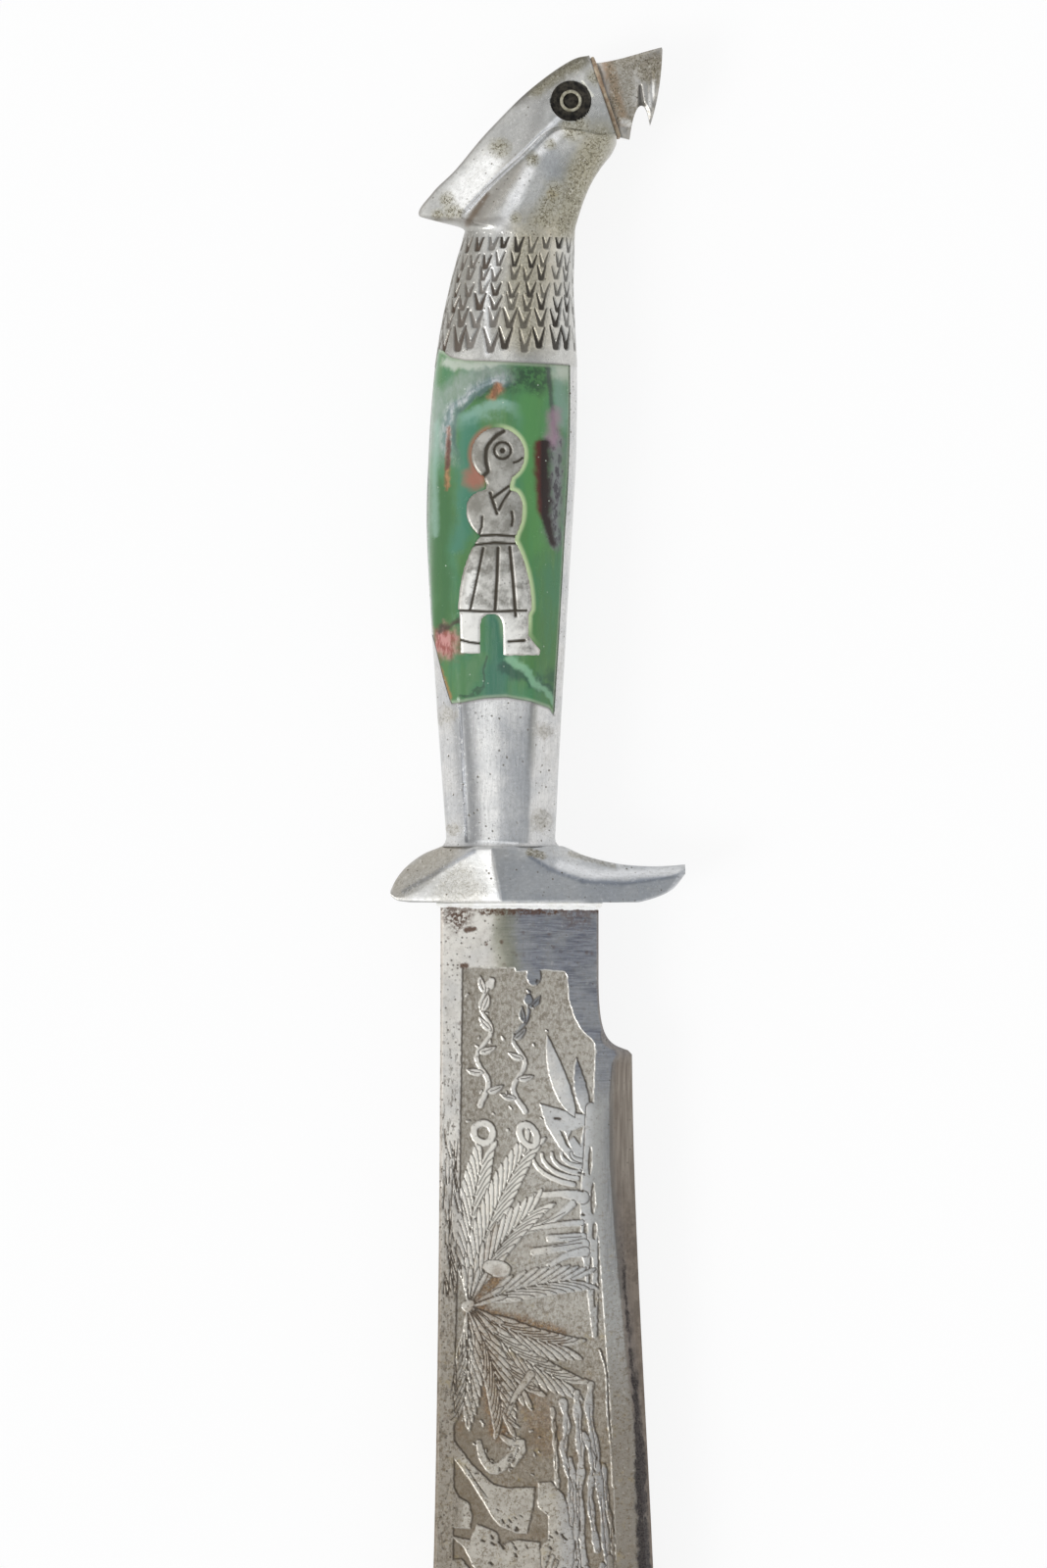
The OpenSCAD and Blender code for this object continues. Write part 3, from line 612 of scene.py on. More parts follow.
    colour = f.layered(f.mix(ground, bright, stipple), [
        (brown * 0.9, f.mix(fine.step(0.4, 0.6), tint(88, 60, 36), tint(142, 114, 78))),
        (ochre * 0.4, (164, 146, 98)),
        (stained * 0.65, (106, 90, 66)),
        (bevel * 0.92, worn),
        (grime * 0.92, (66, 56, 45)),
        (grind * 0.4, (112, 110, 112)),
        (dark_line * 0.95, f.mix(fine.step(0.35, 0.6), tint(36, 33, 35), tint(74, 69, 67))),
        (lit * (0.66 - low * 0.34), (244, 242, 234)),
    ])

    # Rust and pits, and the solder that ran down to the blade's root
    plain = (1 - ground) * (1 - 0.5 * blue) * (0.35 + 0.65 * f.x.drop(-8.5, -3.0).over(f.y.step(-9.5, -9.0)))
    rust = f.specks(1.9, 0.1, 0.26, shift=(3, 1, 0)) * f.noise(5.0, 2.0, shift=(8, 1, 2)).step(0.46, 0.56)
    rust = rust * plain * (0.25 + 0.75 * f.y.step(-26, -12))
    rust = rust * f.noise(0.4, 3.0, 0.7, shift=(1, 9, 9)).step(0.3, 0.5)
    solder = (f.y + (f.noise(2.5, 4.0, 0.7) - 0.5) * 1.2 + 0.02 * f.x).step(-0.62, -0.5)
    seat = (f.y + (f.noise(1.5, 5.0, 0.75) - 0.5) * 2.6).step(-1.5, -0.9) * (1 - solder)
    corner = f.spot(-9.9, -1.6, 2.2, 0.9).over(f.spot(9.0, -1.2, 2.4, 0.9) * 0.6)
    corner = corner.over(f.stroke(-6, -1, 6, -0.9, 0.6, 0.9)) * f.noise(0.6, 4.0, 0.75).step(0.44, 0.54)
    rust = rust.over(seat * f.noise(1.4, 5.0, 0.75, shift=(3, 3, 8)).step(0.42, 0.56) * 0.85).over(corner)
    rust = rust.over(f.stroke(-8.4, -3.9, -7.2, -3.7, 0.4, 1.0))
    rust = rust.over(f.stroke(-9.1, -9.6, -8.4, -9.5, 0.36, 1.0))
    pits = f.specks(0.8, 0.1, 0.3, shift=(1, 1, 1)) * f.noise(3.0, 3.0, shift=(2, 7, 1)).step(0.3, 0.5)
    pits = pits * (0.2 + 0.8 * (1 - ground) * f.x.drop(-8.5, -5.0).over(f.y.step(-9.5, -9.0) * (1 - blue)))
    pits = pits.over(f.specks(1.5, 0.05, 0.13, shift=(2, 5, 1)) * 0.7)
    colour = f.layered(colour, [
        (pits * 0.85, (84, 76, 66)),
        (rust * 0.92, (84, 56, 38)),
        (solder, (252, 252, 250)),
    ])
    spots = pits.over(rust)
    height = fine * (0.3 + ground * 1.3) + lengthways * 0.3 * (1 - ground) + mottle * 0.25 - spots * 0.7
    return f.done(
        Base_Color=colour,
        Metallic=0.84 - ground * 0.34 - spots * 0.5 - brown * 0.4,
        Roughness=0.32 + ground * 0.2 + spots * 0.3 + brown * 0.2 - blue * 0.04,
        Normal=f.bump(height, 0.04),
    )


def swirled_resin():
    """Poured resin: green marbled with teal, grey-blue, lilac, orange, maroon and pink."""
    f = Finish("swirled resin")
    # Marks are laid out straight and bent by these slow waves, as the colours flowed
    sway_x = (f.noise(8.0, 2.0, 0.5, shift=(5, 1, 7)) - 0.5) * 4.0
    sway_x = sway_x + (f.noise(1.7, 3.0, 0.6, shift=(2, 8, 1)) - 0.5) * 1.0
    sway_y = (f.noise(8.0, 2.0, 0.5, shift=(1, 6, 3)) - 0.5) * 7.0
    sway_y = sway_y + (f.noise(1.7, 3.0, 0.6, shift=(9, 2, 4)) - 0.5) * 2.0
    straight_x = f.x
    straight_y = f.y
    f.x = f.x + sway_x
    f.y = f.y + sway_y
    swirl = f.noise(4.0, 4.0, 0.6, stretch=(1, 0.2, 1), shift=(0, 3, 0))
    streaks = f.noise(1.3, 3.0, 0.6, stretch=(1, 0.14, 1), shift=(4, 3, 0))
    rimmed = f.marks([(-10.0, 33.4, -5.4, 34.6, 0.2, 0.6, 0.7), (-5.4, 34.6, -5.2, 38.6, 0.18, 0.6, 0.7)])
    deep = f.stroke(-2.0, 36.8, 5.2, 33.4, 0.9, 0.9, 0.6).over(f.spot(5.2, 36.2, 1.2, 0.9, 0.7) * 0.8)
    shade = f.stroke(-5.0, 82.6, 2.6, 83.0, 2.4, 0.9, 0.7)
    shade = shade * (0.45 + 0.55 * f.noise(0.8, 4.0, 0.7).step(0.4, 0.56))
    colour = f.layered(f.mix(swirl.step(0.4, 0.6), tint(78, 122, 72), tint(72, 124, 86)), [
        (streaks.step(0.55, 0.75) * 0.4, (104, 144, 92)),
        (streaks.drop(0.28, 0.42) * 0.35, (54, 104, 70)),
        (f.stroke(2.6, 56, 2.4, 84, 2.0, 0.5, 0.9) * 0.75, (84, 138, 76)),
        (f.stroke(-8.8, 58, -7.6, 76, 1.5, 0.6, 0.8) * 0.8, (66, 124, 104)),
        (f.stroke(-3.4, 33, -2.4, 46, 2.2, 0.6, 0.8) * 0.85, (58, 110, 92)),
        (f.stroke(-9.4, 34.6, -6.4, 38.6, 1.3, 0.5, 0.5) * 0.8, (82, 126, 82)),
        (rimmed * 0.7, (46, 76, 56)),
        (deep * 0.75, (36, 74, 62)),
        (f.stroke(-1.4, 38.4, 5.4, 32.2, 0.55, 0.6, 0.7) * 0.8, (132, 178, 144)),
        (shade * 0.9, (46, 72, 52)),
        (f.stroke(-12.6, 45, -12.4, 66, 1.7, 0.5, 0.8) * 0.85, (58, 102, 56)),
    ])

    # The rest is bent less
    f.x = straight_x + sway_x * 0.3
    corner = f.x.drop(-4.5, 0.5) * f.y.step(68, 74)
    washed = f.noise(0.9, 4.0, 0.65, stretch=(1, 0.5, 1), shift=(5, 9, 2))
    bend_at = (-2.1, 73.9)
    outer_curve = f.arc(*bend_at, 11.4, 1.5, 0.6, 0.7)
    curve = f.arc(*bend_at, 9.2, 0.9, 0.25, 0.9) * corner
    inner_curve = f.arc(*bend_at, 8.2, 0.34, 0.3, 0.9)
    inner_curve = inner_curve.over(f.arc(*bend_at, 9.6, 0.2, 0.6, 0.9) * 0.5) * corner
    above = f.arc(-4.0, 71.8, 6.4, 0.8, 0.7, 0.9) * f.y.step(74.0, 77.5) * f.x.drop(-2.5, 1.5)
    mauve = f.stroke(5.4, 57.5, 5.9, 73, 1.2, 0.9, 0.9)
    maroon = f.marks([(3.7, 72.0, 3.9, 63.5, 1.2, 0.5, 0.5), (3.9, 63.5, 5.0, 57.2, 0.8, 0.7, 0.7)])
    orange = f.stroke(-4.2, 80.0, -3.2, 81.4, 0.8, 0.9, 0.8)
    orange = orange.over(f.stroke(-11.3, 66.6, -11.1, 74.6, 0.34, 0.9, 0.9) * 0.8)
    salmon = f.spot(-7.0, 67.4, 1.7, 0.5, 0.6) * f.x.drop(-6.0, -5.0)
    halo = f.mark("halo")
    glow = halo.drop(0.15, 0.8) * f.x.step(-4.5, -1.0) * straight_y.step(40, 46)
    warm = halo.drop(0.05, 0.9) * f.x.drop(-5.5, -3.5) * straight_y.step(66, 69)
    dots = f.specks(2.2, 0.02, 0.08, shift=(2, 2, 2))
    colour = f.layered(colour, [
        (outer_curve * corner * (0.2 + washed), (148, 160, 152)),
        (f.stroke(-13.4, 60, -13.0, 76, 0.5, 0.5, 0.9) * 0.5, (150, 182, 168)),
        (f.stroke(-11.6, 85.4, -2.0, 86.4, 0.6, 0.6, 0.9) * 0.8, (190, 196, 184)),
        (f.stroke(6.6, 76, 6.2, 84.5, 1.1, 0.7, 0.8) * 0.75, (124, 156, 140)),
        (f.spot(6.8, 84.6, 1.6, 0.6, 0.8) * 0.8, (190, 196, 182)),
        (f.stroke(4.4, 84.8, 5.6, 72.8, 0.34, 0.8, 0.8) * 0.75, (60, 68, 66)),
        (curve * 0.85, f.mix(washed.step(0.42, 0.58), tint(132, 148, 152), tint(188, 192, 196))),
        (inner_curve * 0.7, (72, 98, 96)),
        (above * 0.6, (146, 182, 170)),
        (mauve * (0.3 + washed) * 0.95, (132, 126, 136)),
        (mauve * washed.step(0.48, 0.6) * 0.85, (48, 46, 50)),
        (f.stroke(4.9, 72.6, 5.5, 76.8, 0.9, 0.8, 0.9) * 0.7, (158, 126, 144)),
        (maroon, f.mix(f.x.step(3.0, 3.8), tint(80, 31, 23), tint(30, 11, 7))),
        (orange * 0.8, f.mix(washed.step(0.4, 0.6), tint(136, 78, 52), tint(190, 124, 88))),
        (f.stroke(-11.2, 69.4, -11.1, 73.0, 0.34, 0.9, 0.9) * 0.8, (84, 50, 46)),
        (f.spot(-11.8, 41.4, 2.3, 0.9, 0.6) * 0.9,
         f.mix(washed.step(0.4, 0.6), tint(198, 138, 136), tint(150, 76, 74))),
        (f.stroke(-12.4, 44.6, -9.8, 45.0, 0.6, 0.9, 0.8) * 0.85, (62, 50, 42)),
        (f.stroke(-12.6, 37.6, -11.2, 32.6, 0.34, 0.8, 0.8) * 0.8, (160, 116, 72)),
        (salmon * 0.85, (164, 102, 86)),
        (glow * 0.8, (186, 202, 156)),
        (warm * 0.75, (160, 104, 84)),
        (f.mark("rim").drop(0.15, 0.7) * 0.6, (174, 188, 164)),
        (dots * 0.6, (206, 220, 204)),
    ])
    return f.done(
        Base_Color=colour,
        Roughness=0.15 + f.noise(1.2, 3.0).step(0.45, 0.8) * 0.18,
        Normal=f.bump(swirl + streaks * 0.5 + dots * 0.4, 0.05),
    )


def figure_metal():
    """Cast figure: grey worn metal, brighter at the feet, with black in its engraved lines."""
    f = Finish("engraved figure metal")
    cut = f.mark("cut")
    cloud = f.noise(2.6, 5.0, 0.65)
    patch = f.noise(2.2, 4.0, 0.7, shift=(8, 8, 2)).step(0.5, 0.62) * f.y.drop(56, 60) * f.y.step(45, 48)
    colour = f.layered(f.mix(cloud.step(0.36, 0.64), tint(200, 198, 192), tint(144, 142, 135)), [
        (f.noise(0.9, 4.0, 0.7, shift=(3, 6, 1)).step(0.52, 0.66) * 0.4, (122, 119, 110)),
        (f.y.drop(38, 60) * cloud.drop(0.4, 0.7), (232, 230, 224)),
        (f.y.drop(44.5, 48) * f.x.drop(-2.5, 1.5).over(f.x.drop(-4, -3)) * 0.75, (244, 243, 238)),
        (f.marks([(-4.8, 42.2, 2.2, 0.3, 0.4), (-8.4, 45, -7.2, 52, 0.9, 0.5)]), (240, 239, 234)),
        (f.y.step(56, 64) * 0.3, (134, 131, 121)),
        (patch * 0.5, (108, 105, 96)),
        (f.mark("dirt") * 0.5, (112, 106, 92)),
        (f.specks(1.0, 0.06, 0.2) * 0.6, (112, 108, 100)),
        (cut, (56, 50, 38)),
    ])
    return f.done(
        Base_Color=colour,
        Metallic=0.75 - cut * 0.7,
        Roughness=0.36 + cut * 0.4,
        Normal=f.bump(cloud * 0.4 + f.noise(0.3, 3.0, 0.6) * 0.4, 0.03),
    )


def plain_finish(name, first, second, metallic, roughness, size, depth=0.03, sheen=0.5):
    """Two mingled tones with a fine uneven surface."""
    f = Finish(name)
    cloud = f.noise(size, 5.0, 0.65)
    fine = f.noise(size * 0.2, 3.0, 0.6)
    return f.done(
        Base_Color=f.mix(cloud.step(0.35, 0.65), tint(*first), tint(*second)),
        Metallic=metallic,
        Specular_IOR_Level=sheen,
        Roughness=roughness + fine * 0.2,
        Normal=f.bump(cloud * 0.6 + fine * 0.4, depth),
    )


# Grey and brown blots of the head, then tone marks: some are stains and tints of its own, most are painted
# highlights, painted reflections and painted shade on its crest, ridge, throat and neck, among them a painted
# brown shadow below the ridge
head_spots = [
    (-3.1, 119.8, 1.4), (2.0, 118.0, 1.0), (4.9, 120.3, 0.8), (-11.5, 111.6, 1.1), (-10.9, 109.8, 1.3),
    (-12.9, 109.2, 0.9), (9.4, 123.2, 1.6), (-9.6, 109.4, 0.8), (11.9, 131.0, 1.2), (-0.6, 108.6, 0.8),
    (8.2, 122.6, 1.6),
]
head_stains = [(1, (*spot, 0.7, 0.7)) for spot in head_spots] + [
    (0.8, (2.4, 129.4, 9.4, 133.6, 1.3, 0.8, 0.7)),
    (0.55, (0.6, 90, 1.2, 105, 2.4, 0.8, 0.7)),
    (1, (3.6, 108.4, 5.6, 113.0, 1.6, 0.7, 0.7)),
    (0.9, (12.4, 121.0, 9.6, 115.6, 2.0, 0.6, 0.7)),
    (0.9, (9.6, 115.6, 7.2, 107.6, 2.0, 0.6, 0.7)),
]
head_tones_and_light = [
    (0.75, [(-10.4, 90, -8.2, 105, 2.6, 0.5, 0.8)], (134, 130, 120)),
    (0.4, [(-2.9, 91, -2.5, 103, 1.7, 0.6, 0.8)], (150, 146, 134)),
    (0.8, [(-5.2, 87, -5.0, 99, 0.45, 0.4, 0.7), (-5.0, 99, -1.4, 106, 0.7, 0.5, 0.8)], (250, 250, 248)),
    (0.75, [(-1.0, 122.2, 5.6, 127.6, 2.8, 0.4, 0.7)], (172, 172, 170)),
    (0.9, [(-0.6, 128.0, 9.6, 133.8, 1.4, 0.5, 0.8)], (104, 101, 92)),
    (1, [(-9.6, 111.8, -4.6, 117.0, 2.3, 0.4, 0.6)], (255, 255, 253)),
    (0.6, [(-6.4, 109.4, -0.6, 116.6, 1.7, 0.3, 0.6)], (180, 174, 162)),
    (0.8, [(-8.2, 107.8, -5.2, 112.4, 0.5, 0.5, 0.7)], (118, 98, 76)),
    (0.5, [(3.8, 118.6, 6.8, 115.6, 2.0, 0.5, 0.8)], (172, 176, 180)),
    (0.6, [(12.6, 121.6, 9.6, 115.6, 2.6, 0.5, 0.7), (9.6, 115.6, 6.6, 107.6, 2.4, 0.5, 0.7)],
     (178, 172, 150)),
    (0.7, [(-2.7, 107.2, -0.7, 111.8, 1.0, 0.4, 0.9)], (246, 246, 246)),
    (0.8, [(-0.7, 111.8, 1.5, 116.2, 0.9, 0.4, 0.9)], (246, 246, 246)),
    (0.8, [(3.0, 119.0, 7.0, 122.6, 0.6, 0.5, 0.8)], (246, 246, 246)),
    (1, [(-8.9, 109.2, -4.1, 114.6, 0.42, 0.2, 0.6), (-4.1, 114.6, 1.9, 120.1, 0.42, 0.2, 0.6)],
     (255, 255, 255)),
    (1, [(1.9, 120.1, 6.2, 124.5, 0.42, 0.2, 0.6)], (255, 255, 255)),
    (0.7, [(5.1, 112.4, 0.8, 0.9, 0.6)], (176, 156, 104)),
    (0.9, [(9.9, 130.3, 11.5, 128.0, 0.22, 0.5, 0.6)], (252, 250, 236)),
    (0.62, [(1.4, 91, 2.4, 106, 3.8, 0.5, 0.7)], (204, 194, 168)),
    (0.5, [(9.6, 115.6, 10.6, 118.6, 1.6, 0.8, 0.8)], (206, 196, 172)),
]
guard_stains = [
    (0.35, (-18.5, 2.5, -12.0, 8.0, 2.0, 0.6)),
    (1, (1.6, 8.4, 3.6, 7.9, 0.6, 0.9)),
    (0.5, (8.0, 8.2, 15.0, 6.2, 0.4, 0.9)),
    (0.4, (-9.5, 3.0, 4.0, 0.9)),
]
# Painted light on the guard: grey and blue-grey painted reflections on its facets and along their borders,
# painted highlights along its horn, its long tip, its foot and its top by the collar, and lighter paint over
# the shadow where it meets the collar
guard_tones_and_light = [
    (0.85, [(-19.0, 3.4, -10.6, 9.0, 2.0, 0.3, 0.6)], (178, 172, 162)),
    (0.85, [(-15.0, 1.2, -4.6, 6.0, 3.6, 0.4, 0.6)], (184, 184, 182)),
    (0.75, [(1.6, 7.8, 4.6, 5.9, 0.3, 0.3, 0.8), (4.6, 5.9, 10, 3.9, 0.4, 0.3, 0.8)], (120, 126, 138)),
    (0.75, [(10, 3.9, 16.3, 3.5, 0.42, 0.3, 0.8), (16.3, 3.5, 25.2, 4.8, 0.36, 0.3, 0.8)], (120, 126, 138)),
    (0.9, [(6.5, 6.4, 12.0, 4.9, 0.7, 0.3, 0.9), (12.0, 4.9, 25.0, 5.4, 0.6, 0.3, 0.9)], (252, 252, 252)),
    (1, [(-6.8, 9.9, -0.4, 9.6, 0.2, 0.5, 0.6)], (255, 255, 255)),
    (0.8, [(-11.6, 9.7, -6.6, 9.9, 0.5, 0.3, 0.6)], (236, 234, 230)),
    (0.75, [(-18.3, 2.2, -7.2, 8.6, 0.34, 0.3, 0.8)], (118, 122, 130)),
    (0.8, [(23.8, 2.4, 25.9, 5.4, 0.32, 0.4, 0.6)], (244, 244, 244)),
    (0.3, lambda f: f.x.step(-4.0, -2.5) * f.y.drop(6.5, 8.5), (150, 158, 170)),
    (0.8, lambda f: f.y.drop(0.6, 1.1) * f.x.step(-11.0, -9.0) * f.x.drop(9.0, 11.5), (252, 252, 250)),
]
collar_stains = [
    (0.55, (3.4, 13.5, 1.6, 0.9)),
    (0.5, (-11.6, 30.0, 1.6, 0.9)),
    (0.5, (3.8, 27.6, 1.2, 0.9)),
    (0.6, (-10.4, 12.0, 1.0, 0.9)),
]
# Painted light on the collar: a painted highlight along its foot, a painted bright band up its face, grey
# paint over a glint at its left corner with darker paint on the glint itself, and a painted grey band on its
# right
collar_painted_light = [
    (1, [(-6.8, 10.2, -0.4, 9.9, 0.18, 0.7, 0.6)], (255, 255, 255)),
    (0.55, [(-4.9, 10, -5.1, 31, 1.2, 0.3, 0.7)], (250, 250, 248)),
    (0.85, [(-7.6, 10.4, -9.2, 32, 1.4, 0.1, 0.8)], (153, 155, 157)),
    (1, [(-8.39, 10.2, -9.42, 32.4, 0.26, 0.05, 0.5)], (112, 114, 117)),
    (0.8, lambda f: f.stroke(1.6, 18, 2.3, 33, 0.6, 0.2, 0.7) * f.y.step(18, 27), (160, 160, 156)),
]
beak_stains = [
    (0.75, (17.2, 134.2, 3.0, 0.9)),
    (0.9, (20.6, 132.4, 2.4, 0.8)),
    (0.8, (14.5, 133.5, 15.8, 124.5, 0.9, 0.8)),
    (0.6, (16.8, 131.0, 17.2, 125.0, 1.8, 0.9)),
]
# A brown band by the seam, then three painted highlights on the beak
beak_tones_and_light = [
    (0.7, [(13.6, 134.0, 16.4, 124.4, 0.8, 0.6, 0.8)], (170, 132, 96)),
    (0.5, [(18.2, 127.0, 18.6, 131.5, 0.7, 0.5, 0.7)], (236, 234, 230)),
    (0.8, [(20.6, 126.6, 21.2, 130.4, 0.35, 0.5, 0.7)], (248, 248, 246)),
    (0.9, [(16.4, 124.0, 17.8, 123.6, 0.5, 0.5, 0.7)], (250, 250, 248)),
]
blade_paint = blade_steel()
guard_paint = cast_metal("polished guard aluminium", (206, 206, 204), (184, 186, 188), (150, 143, 126), 1.0,
                         (0.3, 1, 1), 0.26, guard_stains, guard_tones_and_light)
collar_paint = cast_metal("brushed collar aluminium", (222, 221, 219), (200, 201, 202), (158, 150, 134), 1.2,
                          (1, 0.1, 1), 0.2, collar_stains, collar_painted_light)
head_paint = cast_metal("filed head aluminium", (212, 211, 206), (190, 190, 187), (162, 157, 134), 0.8,
                        (0.6, 0.5, 1), 0.22, head_stains, head_tones_and_light)
beak_paint = cast_metal("rough beak aluminium", (198, 195, 188), (164, 160, 153), (144, 133, 112), 2.2,
                        (1, 0.4, 1), 0.3, beak_stains, beak_tones_and_light)
resin_paint = swirled_resin()
figure_paint = figure_metal()
solder_paint = plain_finish("bright solder", (255, 255, 254), (246, 245, 240), 0.1, 0.2, 1.5)
enamel_paint = plain_finish("black eye enamel", (12, 11, 10), (62, 58, 50), 0.0, 0.4, 0.9, 0.12, 0.16)
eyelet_paint = plain_finish("worn eyelet", (184, 180, 162), (134, 129, 110), 0.3, 0.45, 0.9)
braze_paint = plain_finish("brown braze", (178, 163, 140), (134, 110, 88), 0.2, 0.5, 1.4, 0.1)
pitch_paint = plain_finish("pitch bedding", (34, 26, 20), (52, 42, 34), 0.0, 0.6, 1.5)
pin_paint = plain_finish("pin steel", (150, 150, 150), (120, 120, 122), 0.9, 0.35, 1.0)


# Blade


def line_x(line, y):
    """x of a line at given heights; the line runs one way in y."""
    line = np.asarray(line)
    order = np.argsort(line[:, 1])
    return np.interp(y, line[order, 1], line[order, 0])


# Outline of the blade, down the edge's side and up the spine's, and of its etched panel
edge_side = np.vstack([
    [[12.5, 0]],
    bend([12.5, -12], [12.6, -21], [13.9, -22], [17.1, -22.9], 40),
    bend([17.8, -23.6], [18.3, -69.5], [22.2, -100.08], [22.2, -151], 60),
    bend([22.2, -151], [22.2, -184], [15, -198], [7, -blade_length], 90)[1:],
])
spine_side = np.vstack([
    bend([7, -blade_length], [4, -183], [-6.9, -161], [-14.9, clip_y], 90),
    bend([-14.9, clip_y], [-14.4, -125.1], [-12.7, -104.25], [-12.5, 0], 60)[1:],
])
panel = [
    (-9.05, -9.8), (-0.8, -9.9), (-0.6, -10.5), (0.5, -10.4), (3.9, -10.2), (7.2, -10.5), (7.55, -11.2),
    (7.8, -14.7), (8.45, -17.1), (9.65, -19.5), (10.9, -20.7), (11.8, -21.7), (11.95, -23.0), (11.7, -31),
    (11.5, -40), (12.3, -50), (13.0, -60), (13.7, -70), (14.4, -80), (14.9, -92), (15.1, -100), (15.6, -122),
    (15.8, -140), (11.6, -153), (6.5, -163), (1.0, -168), (-3.4, -160), (-9.8, -146), (-10.8, -136),
    (-10.5, -100), (-10.2, -70), (-9.5, -45),
]


class Etching:
    """Distances, in millimetres, from the raised motifs and the cut lines at the points of a blade face."""

    def __init__(self, x, y):
        self.x = x
        self.y = y
        self.raised = np.full(x.shape, 9.0)
        self.cuts = np.full(x.shape, 9.0)

    def near(self, line, reach):
        line = np.asarray(line, float)
        low = line.min(0) - reach
        high = line.max(0) + reach
        rows = np.flatnonzero((self.y[:, 0] > low[1]) & (self.y[:, 0] < high[1]))
        if not len(rows):
            return None
        part = slice(rows[0], rows[-1] + 1)
        mask = (self.x[part] > low[0]) & (self.x[part] < high[0])
        return part, mask

    def lay(self, line, reach, distance):
        """Raises a shape over what was drawn before, with a fine line where it covers something."""
        found = self.near(line, reach)
        if found is None:
            return
        part, mask = found
        away = distance(self.x[part][mask], self.y[part][mask])
        raised = self.raised[part]
        cuts = self.cuts[part]
        older = np.where(away < 0, 9.0, cuts[mask])
        cuts[mask] = np.where(raised[mask] < 0.1, np.minimum(older, np.abs(away) - 0.06), older)
        raised[mask] = np.minimum(raised[mask], away)

    def stroke(self, line, half_width):
        self.lay(line, np.max(half_width) + 0.6, lambda x, y: line_distance(x, y, line, half_width))

    def patch(self, outline):
        self.lay(outline, 0.6, lambda x, y: outline_distance(x, y, outline))

    def hollow(self, outline):
        """Takes a shape away again, down to the ground."""
        found = self.near(outline, 0.1)
        if found is None:
            return
        part, mask = found
        raised = self.raised[part]
        inside = -outline_distance(self.x[part][mask], self.y[part][mask], outline)
        raised[mask] = np.maximum(raised[mask], inside)

    def cut(self, line, half_width=0.07):
        found = self.near(line, np.max(half_width) + 0.6)
        if found is None:
            return
        part, mask = found
        cuts = self.cuts[part]
        away = line_distance(self.x[part][mask], self.y[part][mask], line, half_width)
        cuts[mask] = np.minimum(cuts[mask], away)


def curved(start, end, sag, steps=10):
    """A shallow curve between two places, bowed to its left by sag."""
    start = np.asarray(start, float)
    end = np.asarray(end, float)
    u = np.linspace(0, 1, steps + 1)[:, None]
    side = np.array([start[1] - end[1], end[0] - start[0]]) / np.linalg.norm(end - start)
    return mixed(start, end, u) + side * sag * 4 * u * (1 - u)


def leaf(etching, start, end, width, sag):
    """A lens-shaped leaf; gives back its midrib."""
    rib = curved(start, end, sag, 14)
    side = ahead_and_side(rib)[1]
    u = np.linspace(0, 1, 15)[:, None]
    half = width / 2 * np.sin(np.pi * u**0.8) ** 0.8
    etching.patch(np.vstack([rib + side * half, (rib - side * half)[::-1]]))
    return rib


def frond(etching, start, end, length, sag=0.0):
    """A palm frond: long thin leaflets that lie over one another along a rib, laid from its tip inwards."""
    count = max(5, int(math.dist(start, end) / 1.6))
    rib = curved(start, end, sag, count)
    ahead, side = ahead_and_side(rib)
    for k in range(count - 1, -1, -1):
        reach = length * (0.7 + 0.3 * math.sin(math.pi * min(1, k / count + 0.15)))
        for turn in (1, -1):
            lean = math.radians(20 if k else 8) * turn
            heading = ahead[k] * math.cos(lean) + side[k] * math.sin(lean)
            across = side[k] * math.cos(lean) - ahead[k] * math.sin(lean)
            places = ((0, 0.14), (0.4, 0.4), (0.84, 0.38), (1, 0.1))
            upper = [rib[k] + heading * reach * share + across * half for share, half in places]
            lower = [rib[k] + heading * reach * share - across * half for share, half in places]
            etching.patch(np.array(upper + lower[::-1]))
    etching.cut(rib[:-1], 0.06)


def heading_at(degrees):
    """A unit vector in the blade's flat."""
    return np.array([math.cos(math.radians(degrees)), math.sin(math.radians(degrees))])


def oval(x, y, half_x, half_y, turn=0.0):
    """A closed outline round a place."""
    angle = np.linspace(0, 2 * np.pi, 17)[:-1]
    c = math.cos(turn)
    s = math.sin(turn)
    return np.stack([x + half_x * np.cos(angle) * c - half_y * np.sin(angle) * s,
                     y + half_x * np.cos(angle) * s + half_y * np.sin(angle) * c], 1)


def sprig(etching, stem, leaf_length, flip=1):
    """A wandering stem with small leaves to either side and a bud at its end."""
    line = along_curve(stem, 26)
    etching.stroke(line, np.linspace(0.42, 0.2, len(line)))
    ahead, side = ahead_and_side(line)
    for k in range(3, len(line) - 2, 4):
        turn = flip if (k // 4) % 2 else -flip
        tip = line[k] + (ahead[k] * 0.75 + turn * side[k] * 0.8) * leaf_length
        rib = leaf(etching, line[k], tip, leaf_length * 0.42, 0.2 * turn)
        etching.cut(rib[3:-3], 0.06)
    etching.stroke([line[-1], line[-1] + ahead[-1] * 0.5], [0.75, 0.5])


def along_curve(stations, steps):
    """A smooth line through a few places."""
    stations = np.asarray(stations, float)
    keys = np.column_stack([np.arange(len(stations)), stations])
    return np.stack(along(keys, np.linspace(0, len(stations) - 1, steps)), 1)


